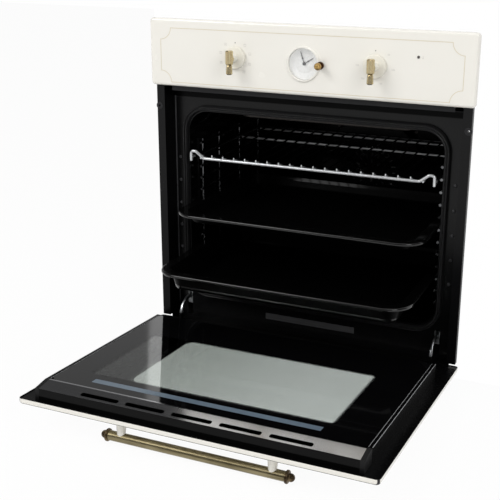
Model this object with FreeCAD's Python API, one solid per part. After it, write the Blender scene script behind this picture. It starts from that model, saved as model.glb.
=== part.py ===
import FreeCAD, Part
import math
import os

# Built-in electric oven with its drop-down door open and its trays drawn out.
# +X is the viewer's right, +Y goes into the cabinet and +Z is up. Y = 0 is the cabinet's front face,
# Z = 0 is the underside of the housing and X = 0 is the middle. The door is drawn shut and then opened.

V = FreeCAD.Vector

# Front
FRONT_W = 595.0        # width of the control panel and of the door
FRONT_H = 595.0        # from the panel's top to the door's lower edge
FRONT_DROP = 7.5       # door's lower edge below the housing's underside
PROUD = 22.0           # front faces ahead of the cabinet's face
PANEL_H = 120.2        # height of the control panel
DOOR_GAP = 4.0         # slit between panel and door
EDGE_DEPTH = 10.0      # depth of the folded edges of panel and door
SKIN = 1.0             # pressed front sheet
CORNER_R = 7.0         # corners of panel and door seen from the front
EDGE_R = 5.0           # rounding of their front edges

# Housing
SHEET = 1.0            # plain sheet metal
BODY_DROP = 15.5       # housing's top below the panel's top
BODY_D = 545.0         # depth of the housing behind the cabinet's face
BASE_LIP = 3.0         # base panel ahead of the cabinet's face
BASE_FOLD = 20.0       # upright folds at the base panel's sides
COL_EDGE = 5.5         # side columns in from the front's edges
COL_W = 15.4           # width of a side column
COL_DEPTH = 11.3       # side column ahead of the cabinet's face
COL_LIP = 9.0          # back lip of a column, which lies on the cabinet
COL_BOTTOM = 11.0      # columns end this far above the base
COL_TOP_DROP = 2.5     # columns end this far below the panel's top
PLATE_SET = 23.0       # front plate behind the cabinet's face
PLATE_DROP = 15.3      # front plate's top edge below the control panel
RIVET_R = 3.0          # pressed rivets at the sides of the front plate
RIVET_PROUD = 0.8
RIVET_IN = 12.6        # rivets in from the columns
RIVET_Z = 146.0        # lowest rivet
RIVET_PITCH = 44.8
RIVET_COUNT = 5
LOUVRE_W = 90.0        # slots in the rear panel and in the side panels
LOUVRE_H = 5.0
LOUVRE_PITCH = 14.0
LOUVRE_COUNT = 8
LOUVRE_X = 130.0       # middle of each column of slots in the rear panel
LOUVRE_Z = 120.0       # lowest slot in the rear panel
SIDE_LOUVRE_DROP = 112.0  # lowest slot in a side panel below the housing's top
SIDE_LOUVRE_BACK = 185.0  # middle of those slots ahead of the rear panel
SIDE_LOUVRES = 5

# Screws of the housing and the grommets for the cabinet screws
SCREW_R = 1.8
SCREW_LEN = 5.5
SCREW_HEAD_R = 3.5
SCREW_HEAD_H = 2.4
SCREW_PLAY = 0.2       # loose holes, and room at the ends of blind bores
REAR_SCREW_IN = 40.0   # screws in from the rear panel's edges
GROMMET_IN = 10.4      # cabinet screws out from the columns' inner faces
GROMMET_DROP = 160.0   # cabinet screws below the panel's top
GROMMET_BORE_R = 2.3
GROMMET_R = 4.0        # sleeve
GROMMET_HEAD_R = 6.5
GROMMET_HEAD_H = 0.6
GROMMET_PLAY = 0.3     # holes in the columns round the sleeves

# Cavity
CAV_SIDE = 33.6        # cavity's side walls in from the columns
CAV_HEAD = 35.5        # cavity's ceiling below the front plate's top
REAR_ROOM = 117.0      # cavity's rear wall ahead of the rear panel
CAV_FLOOR = 61.5
CAV_R = 38.0           # rounded corners of the cavity
CAV_T = 1.2            # enamelled steel
BEAD_W = 2.0           # raised bead round the mouth of the cavity
BEAD_H = 2.5
GASKET_IN = 0.5        # gasket outside the bead
GASKET_W = 8.5
GASKET_H = 11.0
GASKET_ROUND = 2.8
WOOL_GAP = 4.0         # air between cavity and insulation
WOOL_PLAY = 0.5        # insulation to the housing
WOOL_FRONT = 2.0       # insulation behind the front plate
WOOL_BACK = 33.0       # thickness of the rear layer
WOOL_TOP = 28.0        # thickness of the top layer
WOOL_UNDER = 10.3      # room for the bottom element below the cavity
WOOL_BOTTOM = 24.0     # thickness of the bottom layer
HOLE_PLAY = 3.0        # holes in the insulation round what passes through

# Side racks, shelf and trays
RACK_R = 2.5           # rack wires
RACK_GAP = 2.0         # posts to the cavity's wall
RACK_WELD = 0.4        # rungs sink this far into the posts
RACK_FIRST = 42.0      # first post behind the front plate
RACK_LAST = 98.0       # last post ahead of the rear wall
RACK_STEP = 96.0       # from the last post to the two before it
RACK_OVER = 18.0       # rungs run past the first post
RACK_REAR = 58.0       # rungs run past the last post
RACK_END = 4.0         # posts run past the lowest and the highest rung
RACK_HOOK = 2.5        # hooked ends behind the cavity's wall
HOOK_PLAY = 0.3        # holes for the hooked ends
RUNG_UP = 36.9         # lowest rung above the cavity's floor
RUNG_PITCH = 22.8
RUNG_HEAD = 60.0       # least room above the highest rung
HOME_IN = 5.0          # front edges of shelf and trays behind the front plate when pushed home
SEAT = 0.05            # shelf and trays above the rungs they slide on
SHELF_FROM_TOP = 2     # rung under the shelf, counted from the highest
SHELF_OUT = 24.0       # shelf drawn out
SHELF_IN = 1.9         # shelf's side wires in from the rungs
SHELF_REAR = 77.0      # shelf's rear bar ahead of the rear wall when pushed home
SHELF_CROSS = (102.0, 10.0)  # rear bar to the cross bars under the long wires
SHELF_R = 2.7          # front and cross bars
SHELF_SIDE_R = 2.5     # side wires
SHELF_THIN_R = 1.7     # long wires
SHELF_WIRES = 20
SHELF_EDGE = 20.0      # outermost long wires in from the side wires
HUMP_UP = 12.0         # raised stops at the ends of the front bar
HUMP_IN = 10.0         # hump's crest in from the side wire
HUMP_FOOT = 26.0       # hump's foot in from the side wire
HOOK_DOWN = 6.0        # ends of the front bar below the frame
HUMP_BEND = 5.0        # bend radius
WIRE_LAP = 0.5         # welded wires sink into each other
TRAY_SIDE = 8.0        # trays to the cavity's side walls
TRAY_REAR = 44.0       # trays ahead of the rear wall when pushed home
TRAY_R = 45.0          # corners seen from above
TRAY_T = 1.2
RIM_W = 18.0           # flange from the tray's edge to its inner wall
RIM_T = 5.5
RIM_OVER = 3.0         # rounding of the rim's upper edge
RIM_UNDER = 1.0        # rounding of the rim's lower edge
TRAY_SLOPE = 10.0      # walls lean in by this much
TRAY_FOLD = 9.0        # outer rounding between the walls and the floor
UPPER_RUNG = 6         # rungs under the trays, counted from 0
UPPER_OUT = 107.0
UPPER_DEPTH = 21.0
LOWER_RUNG = 2
LOWER_OUT = 178.0
LOWER_DEPTH = 37.0

# Heating, fan and lamp
ELEMENT_R = 3.25
GRILL_DROP = 15.0      # grill element below the ceiling
GRILL_HALF = 170.0     # half its width
GRILL_FRONT = 66.0     # its front behind the front plate
GRILL_BACK = 48.0      # its rear bends ahead of the rear wall
GRILL_LEG = 95.0       # its middle legs from the middle
GRILL_END = 25.0       # its ends from the middle
GRILL_STEP = 30.0      # its inner loops behind its front
ELEMENT_BEND = 24.0
ELEMENT_TAIL = 46.0    # ends behind the rear wall
ELEMENT_PLAY = 0.4     # holes in the rear wall
FLANGE_T = 1.5         # element flange on the rear wall
FLANGE_H = 24.0
FLANGE_OVER = 20.0     # flange past the element's ends
BOTTOM_GAP = 0.3       # bottom element under the cavity's floor
SADDLE_W = 20.0        # saddles that hold it to the floor
RING_IN = 35.0         # ring element round the fan, in from the fan cover's rim
RING_OFF = 16.0        # ring element ahead of the rear wall
RING_END = 14.0        # its ends from the middle
FAN_IN = 20.0          # fan's edge inside the ring element
FAN_BLADES = 12
FAN_DEPTH = 16.0       # width of the blades
FAN_OFF = 6.0          # blades' back disc ahead of the rear wall
FAN_DISC_T = 1.0
FAN_HUB_R = 10.0
FAN_NOSE = 2.0         # hub ahead of the blades
SHAFT_R = 4.0
SHAFT_PLAY = 0.05      # running fit
COVER_EDGE = 52.5      # fan cover's rim below the cavity's ceiling
COVER_FLANGE = 7.0
COVER_TAPER = 6.0
COVER_DEPTH = 32.0
COVER_T = 1.0
ROSETTE_R = (16.0, 30.0, 44.0)  # rings of slots in the fan cover
ROSETTE_COUNT = 8      # slots in the first ring, and as many more in each next one
ROSETTE_W = 4.0        # slots of the rosette
ROSETTE_L = 9.0
MOTOR_R = 32.0
MOTOR_LEN = 45.0
MOTOR_NECK_R = 10.0
MOTOR_OFF = 18.0       # motor behind the rear wall
MOTOR_FOOT = 90.0      # square foot on the rear wall
MOTOR_SHAFT = 12.0     # shaft inside the motor
LAMP_SIDE = 48.0       # lamp in from the cavity's side wall
LAMP_DROP = 66.5       # lamp below the cavity's ceiling
LENS_R = 26.0
LENS_DEPTH = 16.0
LENS_T = 2.5
LAMP_R = 18.0          # lamp holder
LAMP_LEN = 40.0
LAMP_FLANGE_R = 24.0
BULB_R = 10.0
BULB_LEN = 8.0
BULB_ROUND = 5.0
BULB_PLAY = 2.5        # hole in the rear wall round the bulb

# Cooling blower and air duct
DUCT_H = 15.0          # floor's underside to roof's top
DUCT_HALF = 150.0      # side walls of the duct
DUCT_ROOF_IN = 14.6    # roof in from the columns
DUCT_REAR = 85.0       # rear end of the floor ahead of the rear panel
DUCT_LIP = 10.0        # lip under the control panel
DUCT_NOSE = 8.0        # lip ahead of the cabinet's face
BLOWER_L = 160.0
BLOWER_HALF = 80.0
BLOWER_H = 52.0
BLOWER_T = 1.5
BLOWER_INLET_R = 40.0
WHEEL_R = 60.0
WHEEL_IN_R = 46.0
WHEEL_H = 34.0
WHEEL_UP = 6.0         # wheel above the duct's floor
WHEEL_BLADES = 24
WHEEL_PLATE = 1.5
BLADE_T = 1.2
WHEEL_SHAFT_R = 3.0
SPIDER_W = 14.0        # bar that carries the blower motor
SPIDER_T = 2.0
BMOTOR_R = 28.0
BMOTOR_H = 34.0
BMOTOR_SHAFT = 10.0

# Control panel
CHASSIS_BOTTOM = 15.0  # chassis above the duct's roof
CHASSIS_TOP = 3.0      # chassis below the panel's top
STUD_R = 3.0           # studs behind the panel
STUD_SIDE = 47.5       # studs in from the panel's ends
STUD_IN = 18.0         # studs in from the panel's top and bottom
KNOB_X = 127.5
KNOB_DROP = 62.0       # knobs below the panel's top
KNOB_R = 20.0
KNOB_H = 6.4
KNOB_GAP = 0.6         # knob ahead of the panel
KNOB_ROUND = 2.0
SPINDLE_R = 3.0
SPINDLE_PLAY = 0.05
SPINDLE_HOLE = 1.0     # holes in panel and chassis round spindles
SPINDLE_IN = 18.0      # spindle inside the switch
NECK_R = 5.5           # lever's neck at the lever
NECK_FOOT_R = 8.5      # lever's neck at the knob
LEVER_OUT = 18.0       # lever's axis ahead of the knob's face
LEVER_UP = 15.0
LEVER_DOWN = 26.5
LEVER_R = 6.75
LEVER_LOW_R = 5.75
GROOVE_R = 4.2
GROOVE_Z = 10.7        # groove below the knob's middle
LEVER_END = 1.5        # rounded ends of the lever
SWITCH_W = 44.0
SWITCH_H = 38.0
SWITCH_D = 30.0
THERMO_R = 19.0
THERMO_D = 28.0
LED_SIDE = 97.5        # signal lens in from the panel's end
LED_DROP = 43.0
LED_R = 2.2
LED_PLAY = 0.3
LED_PROUD = 0.8
LED_ROUND = 0.7
CLOCK_DROP = 66.0
BEZEL_R = 30.5
BEZEL_PROUD = 2.5
BEZEL_T = 1.4
DIAL_R = 27.0
DIAL_PLAY = 0.3
DIAL_DEPTH = 7.0       # flat of the dial behind the panel's face
DIAL_FLAT_R = 17.0
DIAL_DISH = 2.0        # dial's rim ahead of its flat
DIAL_T = 1.0
GLASS_T = 1.2
GLASS_DEPTH = 1.5      # clock glass behind the bezel's face
HAND_T = 0.5
HOUR_LEN = 18.5
MINUTE_LEN = 21.5
HAND_W = 1.2
SPADE_R = 1.6
SPADE_AT = 0.45        # spade along the hand
BOSS_R = 3.0
HAND_GAP = 0.7         # dial to hour hand, and between the hands
TUBE_R = 2.2           # hour tube
ARBOR_R = 1.2          # minute arbor
ARBOR_PLAY = 0.2
ARBOR_IN = 8.0         # arbors inside the movement
CLOCK_HOUR = 1.95      # time shown
MOVE_HALF = 32.0       # clock movement
MOVE_D = 18.0
SET_X = 32.6           # set knob from the clock's middle
SET_STEM_R = 1.8
SET_DISC_R = 6.5
SET_DISC_H = 4.0
SET_GAP = 0.5          # set knob ahead of the bezel
SET_NECK_R = 3.5
SET_NECK = 9.6         # set knob's disc to the middle of its ball
SET_BALL_R = 6.3
SET_HUB = 4.5          # movement past the set knob's stem

# Hinges
OPEN_DEG = 86.0        # door's opening angle
HINGE_SIDE = 48.5      # hinges in from the door's edges
HINGE_IN = 5.0         # pivot behind the front face
HINGE_UP = 10.0        # pivot above the door's lower edge
PIN_R = 2.0
EYE_R = 3.4
ARM_T = 5.0
ARM_PLAY = 0.05        # running fit on the pin
ARM_Z = 45.0           # middle of the arm where it enters the housing
ARM_W = 12.0
ARM_IN = 52.0          # arm behind the front plate
ARM_BEND_Y = 10.0      # arm's bend behind the cabinet's face
ARM_FRONT = ((-0.126, 0.35), (0.0, 0.8), (0.4, 1.25))  # arm's front edge, in shares of its run and rise
ARM_SHOULDER = 0.8     # where its upper edge turns level
ARM_REAR = ((0.65, 0.85), (0.36, 0.58), (0.126, 0.25))  # its rear edge
SLOT_HALF = 5.0        # hinge slots in the front plate
SLOT_LOW = 6.0
SLOT_HIGH = 56.0
RECV_T = 1.5           # hinge receivers
RECV_PLAY = 0.5
RECV_FLANGE = 12.0
RECV_FLANGE_H = 20.0
RECV_SIDE = 14.0       # height of the receiver's side walls
CASE_T = 1.2           # hinge cases in the door
CASE_PLAY = 1.7        # arm to the cheeks
CASE_START = 66.0      # web above the door's lower edge
CASE_END = 190.0
CASE_H = 19.0
CASE_NECK = 6.8        # straight part of the cheeks above the pin
CASE_SLOT = 8.0        # half the width of the slots in the carcass
SPRING_R = 3.9
SPRING_IN_R = 2.6
SPRING_LEN = 90.0
SPRING_UP = 9.0        # spring's axis above the case's web

# Door
CARCASS_GAP = 6.8      # carcass behind the door's skin
CARCASS_PLAY = 0.3
WINDOW_W = 366.0
WINDOW_H = 233.0
WINDOW_UP = 95.0       # window above the door's lower edge
WINDOW_R = 30.0
PANE_T = 4.0           # both panes
PANE_LAP = 15.0        # window pane behind the skin
CLEAR = 22.0           # carcass opening round the window
INNER_RISE = 24.5      # inner pane's face above the carcass
INNER_IN = 7.0         # inner pane in from the side rails' outer faces
INNER_LOW = 66.0       # inner pane above the door's lower edge
INNER_GAP = 0.5        # inner pane to the top rail
INNER_R = 12.0
RAIL_SIDE = 25.5       # side rails in from the door's edges
RAIL_W = 32.0          # width of a side rail
RAIL_GAP = 0.4
LEDGE = 8.0            # carcass ledge under the inner pane
TOP_DROP = 42.8        # slotted top rail below the door's top
TOP_FLAT = 4.0         # its flat before it slants down
TOP_LEN = 32.0
TOP_NOSE = 19.0        # height of its front edge
TOP_T = 2.0
TOP_SLANT = 0.82       # its slant moves in by this share of its thickness
CAP_T = 7.0
VENT_COUNT = 5
VENT_L = 67.0
VENT_PITCH = 79.6
VENT_IN = 17.5         # slots in from the top rail's inner edge
VENT_W = 9.0
VENT_R = 3.5           # rounded corners of the slots
HANDLE_DROP = 32.8     # handle below the door's top
BAR_OUT = 35.0         # bar's axis ahead of the door's face
BAR_R = 8.0
BAR_HALF = 149.0
COLLAR_R = 10.4        # collars of the finials
COLLAR_W = 4.5
COLLAR_ROUND = 1.2
BALL_R = 6.4           # ball ends of the finials
BALL_OUT = 3.0         # ball's middle past the collar
POST_X = 127.5
POST_BASE_R = 9.0
POST_TOP_R = 6.2
POST_PLAY = 0.1        # saddle round the bar
BOLT_R = 2.4
BOLT_LEN = 18.0
BOLT_PLAY = 0.1
BOLT_HEAD_R = 4.5
BOLT_HEAD_H = 3.0

# Mains connection
BLOCK_X = 155.0
BLOCK_W = 70.0
BLOCK_D = 30.0
BLOCK_DROP = 92.0      # mains block's underside below the housing's top
BLOCK_H = 50.0
GLAND_R = 11.0
GLAND_LEN = 12.0
GLAND_BORE_R = 5.5
GLAND_DEPTH = 20.0
GLAND_PLAY = 0.3

# Places that follow from the sizes above
FRONT_X = FRONT_W / 2
TOP_Z = FRONT_H - FRONT_DROP
PANEL_Z = TOP_Z - PANEL_H
DOOR_Z = -FRONT_DROP
DOOR_TOP = PANEL_Z - DOOR_GAP
FACE_Y = -PROUD
SKIN_Y = FACE_Y + SKIN
EDGE_Y = FACE_Y + EDGE_DEPTH
BODY_H = TOP_Z - BODY_DROP
COL_IN = FRONT_X - COL_EDGE - COL_W
SIDE_X = COL_IN + SHEET
BODY_X = SIDE_X + SHEET
GROMMET_X = COL_IN + GROMMET_IN
GROMMET_Z = TOP_Z - GROMMET_DROP
PLATE_TOP = PANEL_Z - PLATE_DROP
PLATE_BACK = PLATE_SET + SHEET
REAR_Y = BODY_D - REAR_ROOM
REAR_OUT = REAR_Y + CAV_T
CAV_X = COL_IN - CAV_SIDE
CAV_TOP = PLATE_TOP - CAV_HEAD
MID_Z = (CAV_FLOOR + CAV_TOP) / 2
POST_AX = CAV_X - RACK_GAP - RACK_R
POST_FIRST = PLATE_BACK + RACK_FIRST
POST_LAST = REAR_Y - RACK_LAST
RUNG_AX = POST_AX - 2 * RACK_R + RACK_WELD
RUNG_LOW = CAV_FLOOR + RUNG_UP
RUNG_COUNT = int((CAV_TOP - RUNG_HEAD - RUNG_LOW) / RUNG_PITCH) + 1
RUNG_TOP = RUNG_LOW + RUNG_PITCH * (RUNG_COUNT - 1)
HOME_Y = PLATE_BACK + HOME_IN
SHELF_X = RUNG_AX - SHELF_IN
SHELF_D = REAR_Y - SHELF_REAR - HOME_Y
SHELF_SPAN = 2 * (SHELF_X - SHELF_EDGE)
TRAY_W = 2 * (CAV_X - TRAY_SIDE)
TRAY_D = REAR_Y - TRAY_REAR - HOME_Y
COVER_R = CAV_TOP - MID_Z - COVER_EDGE
RING_R = COVER_R - RING_IN
FAN_R = RING_R - FAN_IN
LAMP_X = CAV_X - LAMP_SIDE
LAMP_Z = CAV_TOP - LAMP_DROP
DUCT_Z = PLATE_TOP
ROOF_Z = DUCT_Z + DUCT_H
DUCT_ROOF_HALF = COL_IN - DUCT_ROOF_IN
DUCT_BACK = BODY_D - DUCT_REAR
BLOWER_FRONT = DUCT_BACK - BLOWER_L
CHASSIS_Y = -COL_DEPTH
CHASSIS_BACK = CHASSIS_Y + SHEET
KNOB_Z = TOP_Z - KNOB_DROP
KNOB_BACK = FACE_Y - KNOB_GAP
KNOB_FACE = KNOB_BACK - KNOB_H
LED_X = FRONT_X - LED_SIDE
CLOCK_Z = TOP_Z - CLOCK_DROP
BEZEL_Y = FACE_Y - BEZEL_PROUD
DIAL_Y = FACE_Y + DIAL_DEPTH
PIVOT_Y = FACE_Y + HINGE_IN
PIVOT_Z = DOOR_Z + HINGE_UP
HINGE_X = FRONT_X - HINGE_SIDE
CARCASS_Y = SKIN_Y + CARCASS_GAP
CARCASS_IN = CARCASS_Y + SHEET
PANE_FACE = CARCASS_IN + INNER_RISE
PANE_BACK = PANE_FACE - PANE_T
RAIL_OUT = FRONT_X - RAIL_SIDE
RAIL_IN = RAIL_OUT - RAIL_W
INNER_HALF = RAIL_OUT - INNER_IN
RAIL_Z = DOOR_TOP - TOP_DROP
BAR_Y = FACE_Y - BAR_OUT
HANDLE_Z = DOOR_TOP - HANDLE_DROP
BLOCK_Z = BODY_H - BLOCK_DROP


def box(x0, x1, y0, y1, z0, z1):
    return Part.makeBox(x1 - x0, y1 - y0, z1 - z0, V(x0, y0, z0))


def rod_x(x0, x1, y, z, r):
    return Part.makeCylinder(r, x1 - x0, V(x0, y, z), V(1, 0, 0))


def rod_y(x, z, r, y0, y1):
    return Part.makeCylinder(r, y1 - y0, V(x, y0, z), V(0, 1, 0))


def rod_z(x, y, r, z0, z1):
    return Part.makeCylinder(r, z1 - z0, V(x, y, z0), V(0, 0, 1))


def join(first, others):
    return first.fuse(others).removeSplitter()


def mirrored(shape):
    return shape.mirror(V(0, 0, 0), V(1, 0, 0))


def pair(shape):
    return Part.makeCompound([shape, mirrored(shape)])


def opened(shape):
    """The door's pieces, drawn shut, turned to the open stop."""
    turned = shape.copy()
    turned.rotate(V(0, PIVOT_Y, PIVOT_Z), V(1, 0, 0), OPEN_DEG)
    return turned


def edges_along(shape, axis):
    found = []
    for edge in shape.Edges:
        a = edge.Vertexes[0].Point
        b = edge.Vertexes[-1].Point
        d = b - a
        if d.Length > 0 and abs(abs(d.dot(axis)) / d.Length - 1) < 1e-6:
            found.append(edge)
    return found


def round_box(x0, x1, y0, y1, z0, z1, r):
    """Box with its four edges along Y rounded."""
    shape = box(x0, x1, y0, y1, z0, z1)
    return shape.makeFillet(r, edges_along(shape, V(0, 1, 0)))


def soft_front(shape, y, r):
    """Rounds the rim of the face that lies at y."""
    rim = [e for e in shape.Edges if all(abs(p.Point.y - y) < 1e-6 for p in e.Vertexes)]
    return shape.makeFillet(r, rim)


def pressed_front(z0, z1):
    """Pressed sheet with folded edges, open at the back."""
    half = FRONT_X
    shell = soft_front(round_box(-half, half, FACE_Y, EDGE_Y, z0, z1, CORNER_R), FACE_Y, EDGE_R)
    room = round_box(-half + SKIN, half - SKIN, SKIN_Y, EDGE_Y, z0 + SKIN, z1 - SKIN, CORNER_R - SKIN)
    return shell.cut(soft_front(room, SKIN_Y, EDGE_R - SKIN))


def prism_x(points, x0, x1):
    """Outline in Y and Z, drawn from x0 to x1."""
    outline = [V(x0, y, z) for y, z in points]
    face = Part.Face(Part.makePolygon(outline + outline[:1]))
    return face.extrude(V(x1 - x0, 0, 0))


def spun(points, base, axis, side):
    """Outline of (radius, height) turned round the axis through base."""
    outline = [base + side * r + axis * h for r, h in points]
    face = Part.Face(Part.makePolygon(outline + outline[:1]))
    return face.revolve(base, axis, 360)


def bent_rod(points, r, bend):
    """Round rod along straight runs with bends of one radius."""
    edges = []
    last = points[0]
    for before, corner, after in zip(points, points[1:], points[2:]):
        to_a = (before - corner).normalize()
        to_b = (after - corner).normalize()
        half = to_a.getAngle(to_b) / 2
        reach = bend / math.tan(half)
        middle = corner + (to_a + to_b).normalize() * (bend / math.sin(half) - bend)
        start = corner + to_a * reach
        end = corner + to_b * reach
        edges.append(Part.makeLine(last, start))
        edges.append(Part.Arc(start, middle, end).toShape())
        last = end
    edges.append(Part.makeLine(last, points[-1]))
    section = Part.Wire(Part.Circle(points[0], points[1] - points[0], r).toShape())
    return Part.Wire(edges).makePipeShell([section], True, False)


def ring_around_mouth(inner, outer, y0, y1):
    """Frame round the cavity's mouth between two distances from its edge."""
    rings = []
    for d in (outer, inner):
        rings.append(round_box(-CAV_X - d, CAV_X + d, y0, y1, CAV_FLOOR - d, CAV_TOP + d, CAV_R + d))
    return rings[0].cut(rings[1])


def screw(x, y, z):
    """Screw with its head at y, pointing along +Y."""
    return join(rod_y(x, z, SCREW_HEAD_R, y - SCREW_HEAD_H, y), [rod_y(x, z, SCREW_R, y, y + SCREW_LEN)])


def rear_screw(x, z):
    """Screw in the rear panel, pointing along -Y."""
    y = BODY_D + SHEET
    head = rod_y(x, z, SCREW_HEAD_R, y, y + SCREW_HEAD_H)
    return join(head, [rod_y(x, z, SCREW_R, y - SCREW_LEN, y)])


def rear_screw_places():
    side = BODY_X - REAR_SCREW_IN
    return [(x, z) for x in (-side, 0, side) for z in (REAR_SCREW_IN, BODY_H - REAR_SCREW_IN)]


def cover_screw_places():
    r = COVER_R - COVER_FLANGE / 2
    angles = [math.radians(45 + 90 * i) for i in range(4)]
    return [(r * math.cos(a), MID_Z + r * math.sin(a)) for a in angles]


def element_tails():
    """Where the ends of the three elements pass the rear wall."""
    grill = [(x, CAV_TOP - GRILL_DROP) for x in (-GRILL_END, GRILL_END)]
    ring = [(x, MID_Z + math.sqrt(RING_R ** 2 - RING_END ** 2)) for x in (-RING_END, RING_END)]
    return grill + ring


# Housing

def base_panel():
    plate = box(-BODY_X, BODY_X, -BASE_LIP, BODY_D, 0, SHEET)
    fold = box(SIDE_X - SHEET, SIDE_X, PLATE_BACK + SHEET, BODY_D - SHEET, SHEET, SHEET + BASE_FOLD)
    return join(plate, [fold, mirrored(fold)])


def side_panel():
    panel = box(SIDE_X, BODY_X, 0, BODY_D, SHEET, BODY_H - SHEET)
    slots = []
    y = BODY_D - SIDE_LOUVRE_BACK
    for i in range(SIDE_LOUVRES):
        z = BODY_H - SIDE_LOUVRE_DROP + LOUVRE_PITCH * i
        slots.append(box(SIDE_X, BODY_X, y - LOUVRE_W / 2, y + LOUVRE_W / 2, z, z + LOUVRE_H))
    return panel.cut(slots)


def rear_panel():
    panel = box(-BODY_X, BODY_X, BODY_D, BODY_D + SHEET, 0, BODY_H)
    cuts = [rod_y(x, z, SCREW_R + SCREW_PLAY, BODY_D, BODY_D + SHEET) for x, z in rear_screw_places()]
    for x in (-LOUVRE_X, LOUVRE_X):
        for i in range(LOUVRE_COUNT):
            z = LOUVRE_Z + LOUVRE_PITCH * i
            cuts.append(box(x - LOUVRE_W / 2, x + LOUVRE_W / 2, BODY_D, BODY_D + SHEET, z, z + LOUVRE_H))
    cuts.append(rod_y(BLOCK_X, BLOCK_Z + BLOCK_H / 2, GLAND_R + GLAND_PLAY, BODY_D, BODY_D + SHEET))
    return panel.cut(cuts)


def top_cover():
    """Top sheet, with a tongue between the columns that reaches the control chassis."""
    sheet = box(-BODY_X, BODY_X, PLATE_BACK, BODY_D, BODY_H - SHEET, BODY_H)
    tongue = box(-COL_IN, COL_IN, CHASSIS_BACK, PLATE_BACK, BODY_H - SHEET, BODY_H)
    return join(sheet, [tongue])


def column():
    """Right side column: folded sheet whose back lip lies on the cabinet."""
    out = COL_IN + COL_W
    top = TOP_Z - COL_TOP_DROP
    face = box(COL_IN, out, -COL_DEPTH, -COL_DEPTH + SHEET, COL_BOTTOM, top)
    inner = box(COL_IN, COL_IN + SHEET, -COL_DEPTH, PLATE_BACK, COL_BOTTOM, top)
    outer = box(out - SHEET, out, -COL_DEPTH, 0, COL_BOTTOM, top)
    lip = box(out - COL_LIP, out, -SHEET, 0, COL_BOTTOM, top)
    hole = rod_y(GROMMET_X, GROMMET_Z, GROMMET_R + GROMMET_PLAY, -COL_DEPTH, 0)
    return join(face, [inner, outer, lip]).cut(hole)


def grommet():
    sleeve = rod_y(GROMMET_X, GROMMET_Z, GROMMET_R, -COL_DEPTH, 0)
    head = rod_y(GROMMET_X, GROMMET_Z, GROMMET_HEAD_R, -COL_DEPTH - GROMMET_HEAD_H, -COL_DEPTH)
    bore = rod_y(GROMMET_X, GROMMET_Z, GROMMET_BORE_R, -COL_DEPTH - GROMMET_HEAD_H, 0)
    return join(sleeve, [head]).cut(bore)


def front_plate():
    plate = box(-COL_IN, COL_IN, PLATE_SET, PLATE_BACK, SHEET, PLATE_TOP)
    mouth = round_box(-CAV_X, CAV_X, PLATE_SET, PLATE_BACK, CAV_FLOOR, CAV_TOP, CAV_R)
    slot = box(HINGE_X - SLOT_HALF, HINGE_X + SLOT_HALF, PLATE_SET, PLATE_BACK, SLOT_LOW, SLOT_HIGH)
    rivets = []
    for i in range(RIVET_COUNT):
        z = RIVET_Z + RIVET_PITCH * i
        rivets.append(rod_y(COL_IN - RIVET_IN, z, RIVET_R, PLATE_SET - RIVET_PROUD, PLATE_SET))
    bead = ring_around_mouth(0, BEAD_W, PLATE_SET - BEAD_H, PLATE_SET)
    plate = plate.cut([mouth, slot, mirrored(slot)])
    return join(plate, [bead] + rivets + [mirrored(r) for r in rivets])


def door_gasket():
    start = BEAD_W + GASKET_IN
    front = PLATE_SET - GASKET_H
    return soft_front(ring_around_mouth(start, start + GASKET_W, front, PLATE_SET), front, GASKET_ROUND)


def cavity_shell():
    outer = round_box(-CAV_X - CAV_T, CAV_X + CAV_T, PLATE_BACK, REAR_OUT,
                      CAV_FLOOR - CAV_T, CAV_TOP + CAV_T, CAV_R + CAV_T)
    room = round_box(-CAV_X, CAV_X, PLATE_BACK, REAR_Y, CAV_FLOOR, CAV_TOP, CAV_R)
    cuts = [rod_y(0, MID_Z, SHAFT_R + SCREW_PLAY, REAR_Y, REAR_OUT)]
    cuts.append(rod_y(LAMP_X, LAMP_Z, BULB_R + BULB_PLAY, REAR_Y, REAR_OUT))
    cuts += [rod_y(x, z, ELEMENT_R + ELEMENT_PLAY, REAR_Y, REAR_OUT) for x, z in element_tails()]
    cuts += [rod_y(x, z, SCREW_R + SCREW_PLAY, REAR_Y, REAR_OUT) for x, z in cover_screw_places()]
    for y, z in hook_places():
        hole = rod_x(POST_AX, CAV_X + CAV_T, y, z, RACK_R + HOOK_PLAY)
        cuts += [hole, mirrored(hole)]
    return outer.cut(room).cut(cuts)


def insulation():
    side = SIDE_X - WOOL_PLAY
    floor = CAV_FLOOR - CAV_T - WOOL_UNDER
    roof = CAV_TOP + CAV_T + WOOL_GAP
    front = PLATE_BACK + WOOL_FRONT
    gap = CAV_T + WOOL_GAP
    back = REAR_OUT + WOOL_GAP
    block = box(-side, side, front, back + WOOL_BACK, floor - WOOL_BOTTOM, roof + WOOL_TOP)
    room = box(-CAV_X - gap, CAV_X + gap, front, back, floor, roof)
    rear = back + WOOL_BACK
    cuts = [room, rod_y(0, MID_Z, MOTOR_R + HOLE_PLAY, back, rear)]
    cuts.append(rod_y(LAMP_X, LAMP_Z, LAMP_R + HOLE_PLAY, back, rear))
    for x, z in element_tails():
        cuts.append(rod_y(x, z, ELEMENT_R + HOLE_PLAY, back, rear))
    reach = RECV_FLANGE + HOLE_PLAY
    low = ARM_Z - ARM_W / 2 - RECV_FLANGE_H
    end = PLATE_BACK + ARM_IN + HOLE_PLAY
    recess = box(HINGE_X - reach, side, front, end, low, ARM_Z + RECV_FLANGE_H)
    return block.cut(cuts + [recess, mirrored(recess)])


def hook_places():
    """Where the rack's hooked ends enter the cavity's walls."""
    ends = (RUNG_LOW - RACK_END, RUNG_TOP + RACK_END)
    return [(y, z) for y in (POST_FIRST, POST_LAST) for z in ends]


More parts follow.
